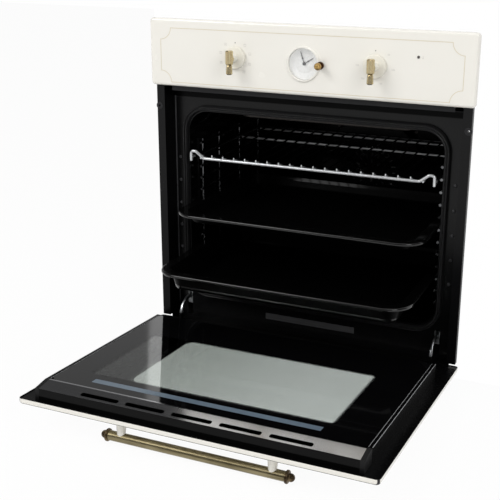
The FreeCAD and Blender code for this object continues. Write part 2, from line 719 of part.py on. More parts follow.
def side_rack():
    low = RUNG_LOW - RACK_END
    high = RUNG_TOP + RACK_END
    posts = (POST_FIRST, POST_LAST - 2 * RACK_STEP, POST_LAST - RACK_STEP, POST_LAST)
    wires = [rod_z(POST_AX, y, RACK_R, low, high) for y in posts]
    for i in range(RUNG_COUNT):
        z = RUNG_LOW + RUNG_PITCH * i
        wires.append(rod_y(RUNG_AX, z, RACK_R, POST_FIRST - RACK_OVER, POST_LAST + RACK_REAR))
    for y, z in hook_places():
        wires.append(Part.makeSphere(RACK_R, V(POST_AX, y, z)))
        wires.append(rod_x(POST_AX, CAV_X + CAV_T + RACK_HOOK, y, z, RACK_R))
    return join(wires[0], wires[1:])


# Shelf and trays

def wire_shelf():
    rung_z = RUNG_LOW + RUNG_PITCH * (RUNG_COUNT - SHELF_FROM_TOP)
    z = rung_z + math.sqrt((RACK_R + SHELF_SIDE_R) ** 2 - SHELF_IN ** 2) + SEAT
    y = HOME_Y - SHELF_OUT
    crest = z + HUMP_UP
    half = [(SHELF_X, z - HOOK_DOWN), (SHELF_X, crest), (SHELF_X - HUMP_IN, crest), (SHELF_X - HUMP_FOOT, z)]
    path = [V(-a, y, b) for a, b in half] + [V(a, y, b) for a, b in reversed(half)]
    wires = [bent_rod(path, SHELF_R, HUMP_BEND)]
    for x in (-SHELF_X, SHELF_X):
        wires.append(rod_y(x, z, SHELF_SIDE_R, y, y + SHELF_D))
    wires.append(rod_x(-SHELF_X, SHELF_X, y + SHELF_D, z, SHELF_R))
    low = z - SHELF_THIN_R - SHELF_R + WIRE_LAP
    inner = SHELF_X - SHELF_SIDE_R - RACK_R
    for ahead in SHELF_CROSS:
        wires.append(rod_x(-inner, inner, y + SHELF_D - ahead, low, SHELF_R))
    pitch = SHELF_SPAN / (SHELF_WIRES - 1)
    for i in range(SHELF_WIRES):
        x = -SHELF_SPAN / 2 + pitch * i
        wires.append(rod_y(x, z, SHELF_THIN_R, y, y + SHELF_D))
    return join(wires[0], wires[1:])


def loop_z(x, y0, y1, r, z):
    """Rounded rectangle at height z, as a wire."""
    plate = Part.makeBox(2 * x, y1 - y0, SHEET, V(-x, y0, z))
    plate = plate.makeFillet(r, edges_along(plate, V(0, 0, 1)))
    faces = [f for f in plate.Faces if abs(f.BoundBox.ZMax - z) < 1e-6]
    return faces[0].OuterWire


def level_edges(shape, z):
    """Edges of a shape that lie at height z."""
    return [e for e in shape.Edges if all(abs(p.Point.z - z) < 1e-6 for p in e.Vertexes)]


def tray(rung, out, depth):
    """Tray with a rolled rim on two rungs, leaning walls and a rounded fold round its floor."""
    bottom = RUNG_LOW + RUNG_PITCH * rung + RACK_R + SEAT
    top = bottom + RIM_T
    half = TRAY_W / 2
    front = HOME_Y - out
    back = front + TRAY_D
    wall = RIM_W - TRAY_T
    lean = wall + TRAY_SLOPE
    low = top - depth - TRAY_T

    def well(inset_top, inset_low, z, fold):
        upper = loop_z(half - inset_top, front + inset_top, back - inset_top, TRAY_R - inset_top, top)
        lower = loop_z(half - inset_low, front + inset_low, back - inset_low, TRAY_R - inset_low, z)
        bowl = Part.makeLoft([lower, upper], True, True)
        return bowl.makeFillet(fold, level_edges(bowl, z))

    rim = Part.makeBox(TRAY_W, TRAY_D, RIM_T, V(-half, front, bottom))
    rim = rim.makeFillet(TRAY_R, edges_along(rim, V(0, 0, 1)))
    rim = rim.makeFillet(RIM_OVER, level_edges(rim, top))
    rim = rim.makeFillet(RIM_UNDER, level_edges(rim, bottom))
    outside = well(wall, lean, low, TRAY_FOLD)
    inside = well(wall + TRAY_T, lean + TRAY_T, low + TRAY_T, TRAY_FOLD - TRAY_T)
    return join(rim, [outside]).cut(inside)


def baking_tray():
    return tray(UPPER_RUNG, UPPER_OUT, UPPER_DEPTH)


def deep_pan():
    return tray(LOWER_RUNG, LOWER_OUT, LOWER_DEPTH)


# Heating, fan and lamp

def grill_element():
    z = CAV_TOP - GRILL_DROP
    front = PLATE_SET + GRILL_FRONT
    back = REAR_Y - GRILL_BACK
    tail = REAR_OUT + ELEMENT_TAIL
    loop = front + GRILL_STEP
    half = [(GRILL_END, tail), (GRILL_END, loop), (GRILL_LEG, loop), (GRILL_LEG, back),
            (GRILL_HALF, back), (GRILL_HALF, front)]
    path = [V(-x, y, z) for x, y in half] + [V(x, y, z) for x, y in reversed(half)]
    rod = bent_rod(path, ELEMENT_R, ELEMENT_BEND)
    reach = GRILL_END + FLANGE_OVER
    flange = box(-reach, reach, REAR_Y - FLANGE_T, REAR_Y, z - FLANGE_H / 2, z + FLANGE_H / 2)
    return join(rod, [flange])


def ring_element():
    y = REAR_Y - RING_OFF
    z = MID_Z + math.sqrt(RING_R ** 2 - RING_END ** 2)
    gap = math.degrees(math.asin(RING_END / RING_R))
    circle = Part.Circle(V(RING_END, y, z), V(z - MID_Z, 0, -RING_END), ELEMENT_R)
    section = Part.Face(Part.Wire(circle.toShape()))
    solid = section.revolve(V(0, y, MID_Z), V(0, 1, 0), 360 - 2 * gap)
    pieces = []
    for x in (-RING_END, RING_END):
        pieces.append(Part.makeSphere(ELEMENT_R, V(x, y, z)))
        pieces.append(rod_y(x, z, ELEMENT_R, y, REAR_OUT + ELEMENT_TAIL))
    reach = RING_END + FLANGE_OVER / 2
    pieces.append(box(-reach, reach, REAR_Y - FLANGE_T, REAR_Y, z - FLANGE_H / 2, z + FLANGE_H / 2))
    return join(solid, pieces)


def bottom_element():
    floor = CAV_FLOOR - CAV_T
    z = floor - BOTTOM_GAP - ELEMENT_R
    front = PLATE_SET + GRILL_FRONT
    back = REAR_Y - GRILL_BACK
    half = [(GRILL_LEG, REAR_OUT), (GRILL_LEG, back), (GRILL_HALF, back), (GRILL_HALF, front)]
    path = [V(-x, y, z) for x, y in half] + [V(x, y, z) for x, y in reversed(half)]
    rod = bent_rod(path, ELEMENT_R, ELEMENT_BEND)
    saddles = [box(-SADDLE_W / 2, SADDLE_W / 2, front - ELEMENT_R, front + ELEMENT_R, z, floor)]
    for x in (-GRILL_HALF, GRILL_HALF):
        y = (front + back) / 2
        saddles.append(box(x - ELEMENT_R, x + ELEMENT_R, y - SADDLE_W / 2, y + SADDLE_W / 2, z, floor))
    return join(rod, saddles)


def convection_fan():
    back = REAR_Y - FAN_OFF
    front = back - FAN_DEPTH
    disc = rod_y(0, MID_Z, FAN_R, back - FAN_DISC_T, back)
    hub = rod_y(0, MID_Z, FAN_HUB_R, front - FAN_NOSE, back)
    shaft = rod_y(0, MID_Z, SHAFT_R, back, REAR_OUT + MOTOR_OFF + MOTOR_SHAFT)
    blades = []
    for i in range(FAN_BLADES):
        blade = box(0, FAN_R - FAN_DISC_T, front, back, MID_Z - FAN_DISC_T / 2, MID_Z + FAN_DISC_T / 2)
        blade.rotate(V(0, 0, MID_Z), V(0, 1, 0), 360 * i / FAN_BLADES)
        blades.append(blade)
    return join(disc, [hub, shaft] + blades)


def fan_motor():
    start = REAR_OUT + MOTOR_OFF
    body = rod_y(0, MID_Z, MOTOR_R, start, start + MOTOR_LEN)
    neck = rod_y(0, MID_Z, MOTOR_NECK_R, REAR_OUT, start)
    half = MOTOR_FOOT / 2
    foot = box(-half, half, REAR_OUT, REAR_OUT + FLANGE_T, MID_Z - half, MID_Z + half)
    bore = rod_y(0, MID_Z, SHAFT_R + SHAFT_PLAY, REAR_OUT, start + MOTOR_SHAFT + SCREW_PLAY)
    tails = [rod_y(x, z, ELEMENT_R + ELEMENT_PLAY, REAR_OUT, start) for x, z in element_tails()]
    return join(body, [neck, foot]).cut([bore] + tails)


def fan_cover():
    low = COVER_R - COVER_FLANGE
    high = low - COVER_TAPER
    t = COVER_T
    d = COVER_DEPTH
    outline = [(0, d), (high, d), (low, t), (COVER_R, t), (COVER_R, 0), (low - t, 0),
               (high - t, d - t), (0, d - t)]
    cover = spun(outline, V(0, REAR_Y, MID_Z), V(0, -1, 0), V(1, 0, 0))
    cuts = [rod_y(x, z, SCREW_R + SCREW_PLAY, REAR_Y - t, REAR_Y) for x, z in cover_screw_places()]
    for ring, r in enumerate(ROSETTE_R):
        count = ROSETTE_COUNT * (ring + 1)
        for i in range(count):
            slot = box(r, r + ROSETTE_L, REAR_Y - d, REAR_Y - d + t,
                       MID_Z - ROSETTE_W / 2, MID_Z + ROSETTE_W / 2)
            slot.rotate(V(0, 0, MID_Z), V(0, 1, 0), 360 * i / count)
            cuts.append(slot)
    return cover.cut(cuts)


def lamp_lens():
    cup = rod_y(LAMP_X, LAMP_Z, LENS_R, REAR_Y - LENS_DEPTH, REAR_Y)
    cup = soft_front(cup, REAR_Y - LENS_DEPTH, LENS_T)
    return cup.cut(rod_y(LAMP_X, LAMP_Z, LENS_R - LENS_T, REAR_Y - LENS_DEPTH + LENS_T, REAR_Y))


def oven_lamp():
    holder = rod_y(LAMP_X, LAMP_Z, LAMP_R, REAR_OUT, REAR_OUT + LAMP_LEN)
    flange = rod_y(LAMP_X, LAMP_Z, LAMP_FLANGE_R, REAR_OUT, REAR_OUT + FLANGE_T)
    tip = REAR_OUT - BULB_LEN
    bulb = soft_front(rod_y(LAMP_X, LAMP_Z, BULB_R, tip, REAR_OUT), tip, BULB_ROUND)
    return join(holder, [flange, bulb])


# Cooling blower and air duct

def air_duct():
    """Floor over the insulation, roof, side walls and the lip under the control panel."""
    roof = ROOF_Z - SHEET
    floor = box(-COL_IN, COL_IN, PLATE_SET, DUCT_BACK, DUCT_Z, DUCT_Z + SHEET)
    top = box(-DUCT_ROOF_HALF, DUCT_ROOF_HALF, -DUCT_NOSE, BLOWER_FRONT, roof, ROOF_Z)
    lip = box(-DUCT_ROOF_HALF, DUCT_ROOF_HALF, -DUCT_NOSE, -DUCT_NOSE + SHEET, ROOF_Z - DUCT_LIP, ROOF_Z)
    wall = box(DUCT_HALF, DUCT_HALF + SHEET, PLATE_SET, BLOWER_FRONT, DUCT_Z, ROOF_Z)
    return join(floor, [top, lip, wall, mirrored(wall)])


def blower_mid():
    return (BLOWER_FRONT + DUCT_BACK) / 2


def blower_housing():
    low = DUCT_Z + SHEET
    top = low + BLOWER_H
    case = box(-BLOWER_HALF, BLOWER_HALF, BLOWER_FRONT, DUCT_BACK, low, top)
    room = box(-BLOWER_HALF + BLOWER_T, BLOWER_HALF - BLOWER_T, BLOWER_FRONT + BLOWER_T,
               DUCT_BACK - BLOWER_T, low, top - BLOWER_T)
    outlet = box(-BLOWER_HALF + BLOWER_T, BLOWER_HALF - BLOWER_T, BLOWER_FRONT,
                 BLOWER_FRONT + BLOWER_T, low, ROOF_Z - SHEET)
    inlet = rod_z(0, blower_mid(), BLOWER_INLET_R, top - BLOWER_T, top)
    return case.cut([room, outlet, inlet])


def blower_wheel():
    y = blower_mid()
    low = DUCT_Z + SHEET + WHEEL_UP
    top = low + WHEEL_H
    plate = rod_z(0, y, WHEEL_R, low, low + WHEEL_PLATE)
    ring = rod_z(0, y, WHEEL_R, top - WHEEL_PLATE, top)
    ring = ring.cut(rod_z(0, y, WHEEL_IN_R, top - WHEEL_PLATE, top))
    end = DUCT_Z + SHEET + BLOWER_H + SPIDER_T + BMOTOR_SHAFT
    pieces = [ring, rod_z(0, y, WHEEL_SHAFT_R, low, end)]
    for i in range(WHEEL_BLADES):
        blade = box(WHEEL_IN_R + WHEEL_PLATE, WHEEL_R - WHEEL_PLATE, y - BLADE_T / 2, y + BLADE_T / 2,
                    low + WHEEL_PLATE / 2, top - WHEEL_PLATE / 2)
        blade.rotate(V(0, y, 0), V(0, 0, 1), 360 * i / WHEEL_BLADES)
        pieces.append(blade)
    return join(plate, pieces)


def blower_motor():
    y = blower_mid()
    low = DUCT_Z + SHEET + BLOWER_H
    reach = BLOWER_INLET_R + SPIDER_W
    bar = box(-reach, reach, y - SPIDER_W / 2, y + SPIDER_W / 2, low, low + SPIDER_T)
    body = rod_z(0, y, BMOTOR_R, low + SPIDER_T, low + SPIDER_T + BMOTOR_H)
    bore = rod_z(0, y, WHEEL_SHAFT_R + SHAFT_PLAY, low, low + SPIDER_T + BMOTOR_SHAFT + SCREW_PLAY)
    return join(body, [bar]).cut(bore)


# Control panel and what is behind it

def control_panel():
    panel = pressed_front(PANEL_Z, TOP_Z)
    studs = []
    for x in (STUD_SIDE - FRONT_X, FRONT_X - STUD_SIDE):
        for z in (PANEL_Z + STUD_IN, TOP_Z - STUD_IN):
            studs.append(rod_y(x, z, STUD_R, SKIN_Y, CHASSIS_Y))
    cuts = []
    for x in (-KNOB_X, KNOB_X):
        cuts.append(rod_y(x, KNOB_Z, SPINDLE_R + SPINDLE_HOLE, FACE_Y, SKIN_Y))
    cuts.append(rod_y(0, CLOCK_Z, DIAL_R + BEZEL_T + 2 * DIAL_PLAY, FACE_Y, SKIN_Y))
    cuts.append(rod_y(SET_X, CLOCK_Z, SET_STEM_R + SCREW_PLAY, FACE_Y, SKIN_Y))
    cuts.append(rod_y(LED_X, TOP_Z - LED_DROP, LED_R + LED_PLAY, FACE_Y, SKIN_Y))
    return join(panel, studs).cut(cuts)


def control_chassis():
    plate = box(-COL_IN, COL_IN, CHASSIS_Y, CHASSIS_BACK, ROOF_Z + CHASSIS_BOTTOM, TOP_Z - CHASSIS_TOP)
    cuts = []
    for x in (-KNOB_X, KNOB_X):
        cuts.append(rod_y(x, KNOB_Z, SPINDLE_R + SPINDLE_HOLE, CHASSIS_Y, CHASSIS_BACK))
    cuts.append(rod_y(0, CLOCK_Z, TUBE_R + SPINDLE_HOLE, CHASSIS_Y, CHASSIS_BACK))
    cuts.append(rod_y(SET_X, CLOCK_Z, SET_STEM_R + SCREW_PLAY, CHASSIS_Y, CHASSIS_BACK))
    return plate.cut(cuts)


def knob_disc(x):
    disc = soft_front(rod_y(x, KNOB_Z, KNOB_R, KNOB_FACE, KNOB_BACK), KNOB_FACE, KNOB_ROUND)
    return disc.cut(rod_y(x, KNOB_Z, SPINDLE_R + SPINDLE_PLAY, KNOB_FACE, KNOB_BACK))


def knob_lever(x):
    """Lever with a round upper part and a grooved tail, its neck and its spindle."""
    end = LEVER_END
    outline = [(0, LEVER_UP), (LEVER_R - end, LEVER_UP), (LEVER_R, LEVER_UP - end),
               (LEVER_R, -GROOVE_Z + 2 * end), (GROOVE_R, -GROOVE_Z),
               (LEVER_LOW_R - end / 2, -GROOVE_Z - end), (LEVER_LOW_R, -LEVER_DOWN + end),
               (LEVER_LOW_R - end, -LEVER_DOWN), (0, -LEVER_DOWN)]
    y = KNOB_FACE - LEVER_OUT
    lever = spun(outline, V(x, y, KNOB_Z), V(0, 0, 1), V(1, 0, 0))
    neck = Part.makeCone(NECK_R, NECK_FOOT_R, LEVER_OUT, V(x, y, KNOB_Z), V(0, 1, 0))
    spindle = rod_y(x, KNOB_Z, SPINDLE_R, KNOB_FACE, CHASSIS_BACK + SPINDLE_IN)
    return join(lever, [neck, spindle])


def spindle_bore(x):
    return rod_y(x, KNOB_Z, SPINDLE_R + SPINDLE_PLAY, CHASSIS_BACK, CHASSIS_BACK + SPINDLE_IN + SCREW_PLAY)


def function_switch():
    body = box(-KNOB_X - SWITCH_W / 2, -KNOB_X + SWITCH_W / 2, CHASSIS_BACK, CHASSIS_BACK + SWITCH_D,
               KNOB_Z - SWITCH_H / 2, KNOB_Z + SWITCH_H / 2)
    return body.cut(spindle_bore(-KNOB_X))


def thermostat():
    body = rod_y(KNOB_X, KNOB_Z, THERMO_R, CHASSIS_BACK, CHASSIS_BACK + THERMO_D)
    return body.cut(spindle_bore(KNOB_X))


def indicator_lens():
    lens = rod_y(LED_X, TOP_Z - LED_DROP, LED_R, FACE_Y - LED_PROUD, CHASSIS_Y)
    return soft_front(lens, FACE_Y - LED_PROUD, LED_ROUND)


def clock_bezel():
    inner = DIAL_R + DIAL_PLAY
    outline = [(inner, BEZEL_Y), (BEZEL_R - BEZEL_T, BEZEL_Y), (BEZEL_R, BEZEL_Y + BEZEL_T),
               (BEZEL_R, FACE_Y), (inner + BEZEL_T, FACE_Y), (inner + BEZEL_T, CHASSIS_Y),
               (inner, CHASSIS_Y)]
    return spun(outline, V(0, 0, CLOCK_Z), V(0, 1, 0), V(1, 0, 0))


def clock_dial():
    hole = TUBE_R + ARBOR_PLAY
    outline = [(hole, DIAL_Y), (DIAL_FLAT_R, DIAL_Y), (DIAL_R, DIAL_Y - DIAL_DISH),
               (DIAL_R, CHASSIS_Y), (DIAL_R - DIAL_T, CHASSIS_Y), (DIAL_R - DIAL_T, DIAL_Y + DIAL_T),
               (hole, DIAL_Y + DIAL_T)]
    return spun(outline, V(0, 0, CLOCK_Z), V(0, 1, 0), V(1, 0, 0))


def clock_glass():
    start = BEZEL_Y + GLASS_DEPTH
    return rod_y(0, CLOCK_Z, DIAL_R, start, start + GLASS_T)


def clock_hand(length, y, arbor_r, bore_r, hours):
    """Spade hand on its arbor, turned to the time shown."""
    z = CLOCK_Z
    blade = box(-HAND_W / 2, HAND_W / 2, y - HAND_T, y, z, z + length)
    spade = rod_y(0, z + length * SPADE_AT, SPADE_R, y - HAND_T, y)
    boss = rod_y(0, z, BOSS_R, y - HAND_T, y)
    arbor = rod_y(0, z, arbor_r, y - HAND_T, CHASSIS_BACK + ARBOR_IN)
    hand = join(blade, [spade, boss, arbor])
    if bore_r > 0:
        hand = hand.cut(rod_y(0, z, bore_r, y - HAND_T, CHASSIS_BACK + ARBOR_IN))
    hand.rotate(V(0, 0, z), V(0, 1, 0), 30 * hours)
    return hand


def hour_hand():
    return clock_hand(HOUR_LEN, DIAL_Y - HAND_GAP, TUBE_R, ARBOR_R + ARBOR_PLAY, CLOCK_HOUR)


def minute_hand():
    y = DIAL_Y - 2 * HAND_GAP - HAND_T
    return clock_hand(MINUTE_LEN, y, ARBOR_R, 0, 12 * (CLOCK_HOUR % 1))


def clock_movement():
    back = CHASSIS_BACK + MOVE_D
    body = box(-MOVE_HALF, SET_X + SET_HUB, CHASSIS_BACK, back, CLOCK_Z - MOVE_HALF, CLOCK_Z + MOVE_HALF)
    end = CHASSIS_BACK + ARBOR_IN + ARBOR_PLAY
    bore = rod_y(0, CLOCK_Z, TUBE_R + SPINDLE_PLAY, CHASSIS_BACK, end)
    stem = rod_y(SET_X, CLOCK_Z, SET_STEM_R + SPINDLE_PLAY, CHASSIS_BACK, end)
    return body.cut([bore, stem])


def clock_set_knob():
    back = BEZEL_Y - SET_GAP
    front = back - SET_DISC_H
    ball = front - SET_NECK
    disc = rod_y(SET_X, CLOCK_Z, SET_DISC_R, front, back)
    neck = rod_y(SET_X, CLOCK_Z, SET_NECK_R, ball, front)
    stem = rod_y(SET_X, CLOCK_Z, SET_STEM_R, back, CHASSIS_BACK + ARBOR_IN)
    return join(disc, [neck, stem, Part.makeSphere(SET_BALL_R, V(SET_X, ball, CLOCK_Z))])


# Hinges

def hinge_arm():
    """Flat hooked arm from the hinge pin up and back into the housing."""
    low = ARM_Z - ARM_W / 2
    high = ARM_Z + ARM_W / 2
    end = PLATE_BACK + ARM_IN
    y, z = PIVOT_Y, PIVOT_Z
    rise = low - z
    run = ARM_BEND_Y - y
    outline = [(y - EYE_R, z)] + [(y + a * run, z + b * rise) for a, b in ARM_FRONT]
    outline += [(y + ARM_SHOULDER * run, high), (end, high), (end, low), (ARM_BEND_Y, low)]
    outline += [(y + a * run, z + b * rise) for a, b in ARM_REAR] + [(y + EYE_R, z)]
    x0 = HINGE_X - ARM_T / 2
    x1 = HINGE_X + ARM_T / 2
    arm = join(prism_x(outline, x0, x1), [rod_x(x0, x1, y, z, EYE_R)])
    return arm.cut(rod_x(x0, x1, y, z, PIN_R + ARM_PLAY))


def hinge_receiver():
    """Channel behind the front plate that holds the arm's end."""
    low = ARM_Z - ARM_W / 2
    end = PLATE_BACK + ARM_IN
    inner = ARM_T / 2 + RECV_PLAY
    outer = inner + RECV_T
    floor = box(HINGE_X - outer, HINGE_X + outer, PLATE_BACK, end, low - RECV_T, low)
    wall = box(HINGE_X + inner, HINGE_X + outer, PLATE_BACK, end, low - RECV_T, low + RECV_SIDE)
    other = box(HINGE_X - outer, HINGE_X - inner, PLATE_BACK, end, low - RECV_T, low + RECV_SIDE)
    reach = RECV_FLANGE_H / 2
    flange = box(HINGE_X - RECV_FLANGE, HINGE_X + RECV_FLANGE, PLATE_BACK, PLATE_BACK + RECV_T,
                 low - reach, low + RECV_SIDE)
    way = box(HINGE_X - inner, HINGE_X + inner, PLATE_BACK, PLATE_BACK + RECV_T, low, low + RECV_SIDE)
    return join(floor, [wall, other, flange.cut(way)])


def hinge_case():
    """Channel in the door with two cheeks and the pin that the arm's eye turns on."""
    y, z = PIVOT_Y, PIVOT_Z
    start = DOOR_Z + CASE_START
    end = DOOR_Z + CASE_END
    high = CARCASS_IN + CASE_H
    inner = ARM_T / 2 + CASE_PLAY
    outer = inner + CASE_T
    neck = z + CASE_NECK
    outline = [(y - EYE_R, z), (y - EYE_R, neck), (CARCASS_IN, start), (CARCASS_IN, end), (high, end),
               (high, start), (y + EYE_R, neck), (y + EYE_R, z)]
    pieces = []
    for x0, x1 in ((HINGE_X - outer, HINGE_X - inner), (HINGE_X + inner, HINGE_X + outer)):
        pieces += [prism_x(outline, x0, x1), rod_x(x0, x1, y, z, EYE_R)]
    web = box(HINGE_X - outer, HINGE_X + outer, CARCASS_IN, CARCASS_IN + CASE_T, start, end)
    seat = box(HINGE_X - outer, HINGE_X + outer, CARCASS_IN, high, end - CASE_T, end)
    pin = rod_x(HINGE_X - outer, HINGE_X + outer, y, z, PIN_R)
    return join(web, pieces + [seat, pin])


def hinge_spring():
    end = DOOR_Z + CASE_END - CASE_T
    y = CARCASS_IN + SPRING_UP
    outer = rod_z(HINGE_X, y, SPRING_R, end - SPRING_LEN, end)
    return outer.cut(rod_z(HINGE_X, y, SPRING_IN_R, end - SPRING_LEN, end))


# Door, drawn shut

def window_box(grow, y0, y1):
    half = WINDOW_W / 2 + grow
    low = DOOR_Z + WINDOW_UP - grow
    return round_box(-half, half, y0, y1, low, low + WINDOW_H + 2 * grow, WINDOW_R)


def bolt_places():
    return [(x, HANDLE_Z) for x in (-POST_X, POST_X)]


def door_outer_panel():
    panel = pressed_front(DOOR_Z, DOOR_TOP).cut(window_box(0, FACE_Y, SKIN_Y))
    return panel.cut([rod_y(x, z, BOLT_R + BOLT_PLAY, FACE_Y, SKIN_Y) for x, z in bolt_places()])


def window_glass():
    return window_box(PANE_LAP, SKIN_Y, SKIN_Y + PANE_T)


def door_carcass():
    """Black plate inside the door with the wall that carries the inner pane's lower edge."""
    half = FRONT_X - SKIN - CARCASS_PLAY
    low = DOOR_Z + SKIN + CARCASS_PLAY
    high = DOOR_TOP - SKIN - CARCASS_PLAY
    plate = round_box(-half, half, CARCASS_Y, CARCASS_IN, low, high, CORNER_R)
    slot = box(HINGE_X - CASE_SLOT, HINGE_X + CASE_SLOT, CARCASS_Y, CARCASS_IN, low, DOOR_Z + CASE_START)
    plate = plate.cut([window_box(CLEAR, CARCASS_Y, CARCASS_IN), slot, mirrored(slot)])
    inner = RAIL_IN - RAIL_GAP
    foot = DOOR_Z + INNER_LOW
    wall = box(-inner, inner, CARCASS_IN, PANE_BACK, foot, foot + SHEET)
    ledge = box(-inner, inner, PANE_BACK - SHEET, PANE_BACK, foot, foot + LEDGE)
    return join(plate, [wall, ledge])


def inner_glass():
    low = DOOR_Z + INNER_LOW
    high = RAIL_Z - INNER_GAP
    return round_box(-INNER_HALF, INNER_HALF, PANE_BACK, PANE_FACE, low, high, INNER_R)


def side_rail():
    """Folded rail on the right of the door; its shelf carries the inner pane."""
    low = DOOR_Z + INNER_LOW
    high = RAIL_Z
    edge = INNER_HALF + RAIL_GAP
    outer = box(RAIL_OUT - SHEET, RAIL_OUT, CARCASS_IN, PANE_FACE, low, high)
    strip = box(edge, RAIL_OUT, PANE_FACE - SHEET, PANE_FACE, low, high)
    shelf = box(RAIL_IN, RAIL_OUT, PANE_BACK - SHEET, PANE_BACK, low, high)
    inner = box(RAIL_IN, RAIL_IN + SHEET, CARCASS_IN, PANE_BACK, low, high)
    return join(outer, [strip, shelf, inner])


def top_outline(inset):
    """Section of the top rail in Y and Z."""
    low = RAIL_Z + inset
    high = RAIL_Z + TOP_LEN - inset
    slant = TOP_SLANT * inset
    crest = RAIL_Z + TOP_FLAT - slant
    return [(CARCASS_IN, low), (PANE_FACE - inset, low), (PANE_FACE - inset, crest),
            (CARCASS_IN + TOP_NOSE - slant, high), (CARCASS_IN, high)]


def door_top_rail():
    half = RAIL_OUT - CAP_T
    rail = prism_x(top_outline(0), -half, half).cut(prism_x(top_outline(TOP_T), -half, half))
    slots = []
    for i in range(VENT_COUNT):
        x = VENT_PITCH * (i - (VENT_COUNT - 1) / 2)
        z = RAIL_Z + VENT_IN
        slots.append(round_box(x - VENT_L / 2, x + VENT_L / 2, CARCASS_IN, PANE_FACE, z, z + VENT_W, VENT_R))
    return rail.cut(slots)


def rail_end_cap():
    return prism_x(top_outline(0), RAIL_OUT - CAP_T, RAIL_OUT)


def handle_bar():
    return rod_x(-BAR_HALF, BAR_HALF, BAR_Y, HANDLE_Z, BAR_R)


def handle_finial():
    collar = rod_x(BAR_HALF, BAR_HALF + COLLAR_W, BAR_Y, HANDLE_Z, COLLAR_R)
    collar = collar.makeFillet(COLLAR_ROUND, [e for e in collar.Edges if e.Closed])
    middle = BAR_HALF + COLLAR_W + BALL_OUT
    return join(collar, [Part.makeSphere(BALL_R, V(middle, BAR_Y, HANDLE_Z))])


def handle_post():
    base = V(POST_X, FACE_Y, HANDLE_Z)
    cone = Part.makeCone(POST_BASE_R, POST_TOP_R, BAR_OUT, base, V(0, -1, 0))
    reach = 2 * POST_BASE_R
    bar_hole = rod_x(POST_X - reach, POST_X + reach, BAR_Y, HANDLE_Z, BAR_R + POST_PLAY)
    bolt_hole = rod_y(POST_X, HANDLE_Z, BOLT_R + BOLT_PLAY, SKIN_Y - BOLT_LEN - BOLT_PLAY, FACE_Y)
    return cone.cut([bar_hole, bolt_hole])


def handle_screw():
    head = rod_y(POST_X, HANDLE_Z, BOLT_HEAD_R, SKIN_Y, SKIN_Y + BOLT_HEAD_H)
    return join(head, [rod_y(POST_X, HANDLE_Z, BOLT_R, SKIN_Y - BOLT_LEN, SKIN_Y)])


# Mains connection

def terminal_block():
    z = BLOCK_Z + BLOCK_H / 2
    half = BLOCK_W / 2
    block = box(BLOCK_X - half, BLOCK_X + half, BODY_D - BLOCK_D, BODY_D, BLOCK_Z, BLOCK_Z + BLOCK_H)
    end = BODY_D + SHEET + GLAND_LEN
    gland = rod_y(BLOCK_X, z, GLAND_R, BODY_D, end)
    return join(block, [gland]).cut(rod_y(BLOCK_X, z, GLAND_BORE_R, end - GLAND_LEN - GLAND_DEPTH, end))


def housing_screws():
    screws = [rear_screw(x, z) for x, z in rear_screw_places()]
    screws += [screw(x, REAR_Y - COVER_T, z) for x, z in cover_screw_places()]
    return Part.makeCompound(screws)


NODES = {
    "base_panel": base_panel(),
    "side_panels": pair(side_panel()),
    "rear_panel": rear_panel(),
    "top_cover": top_cover(),
    "side_columns": pair(column()),
    "screw_grommets": pair(grommet()),
    "front_plate": front_plate(),
    "door_gasket": door_gasket(),
    "cavity_shell": cavity_shell(),
    "insulation": insulation(),
    "side_racks": pair(side_rack()),
    "grill_element": grill_element(),
    "ring_element": ring_element(),
    "bottom_element": bottom_element(),
    "fan_cover": fan_cover(),
    "fan_motor": fan_motor(),
    "convection_fan": convection_fan(),
    "lamp_lens": lamp_lens(),
    "oven_lamp": oven_lamp(),
    "air_duct": air_duct(),
    "blower_housing": blower_housing(),
    "blower_motor": blower_motor(),
    "blower_wheel": blower_wheel(),
    "terminal_block": terminal_block(),
    "housing_screws": housing_screws(),
    "control_panel": control_panel(),
    "control_chassis": control_chassis(),
    "function_switch": function_switch(),
    "thermostat": thermostat(),
    "indicator_lens": indicator_lens(),
    "function_knob": knob_disc(-KNOB_X),
    "function_lever": knob_lever(-KNOB_X),
    "thermostat_knob": knob_disc(KNOB_X),
    "thermostat_lever": knob_lever(KNOB_X),
    "clock_bezel": clock_bezel(),
    "clock_dial": clock_dial(),
    "clock_glass": clock_glass(),
    "clock_movement": clock_movement(),
    "clock_set_knob": clock_set_knob(),
    "hour_hand": hour_hand(),
    "minute_hand": minute_hand(),
    "hinge_arms": pair(hinge_arm()),
    "hinge_receivers": pair(hinge_receiver()),
    "wire_shelf": wire_shelf(),
    "baking_tray": baking_tray(),
    "deep_pan": deep_pan(),
    "door_outer_panel": opened(door_outer_panel()),
    "window_glass": opened(window_glass()),
    "door_carcass": opened(door_carcass()),
    "inner_glass": opened(inner_glass()),
    "door_side_rails": opened(pair(side_rail())),
    "door_top_rail": opened(door_top_rail()),
    "rail_end_caps": opened(pair(rail_end_cap())),
    "hinge_cases": opened(pair(hinge_case())),
    "hinge_springs": opened(pair(hinge_spring())),
    "handle_bar": opened(handle_bar()),
    "handle_finials": opened(pair(handle_finial())),
    "handle_posts": opened(pair(handle_post())),
    "handle_screws": opened(pair(handle_screw())),
}

os.makedirs("parts", exist_ok=True)
for name, shape in NODES.items():
    shape.exportStep("parts/" + name + ".step")
print(len(NODES), "pieces")
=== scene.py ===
import math

import bmesh
import bpy
from mathutils import Matrix, Vector


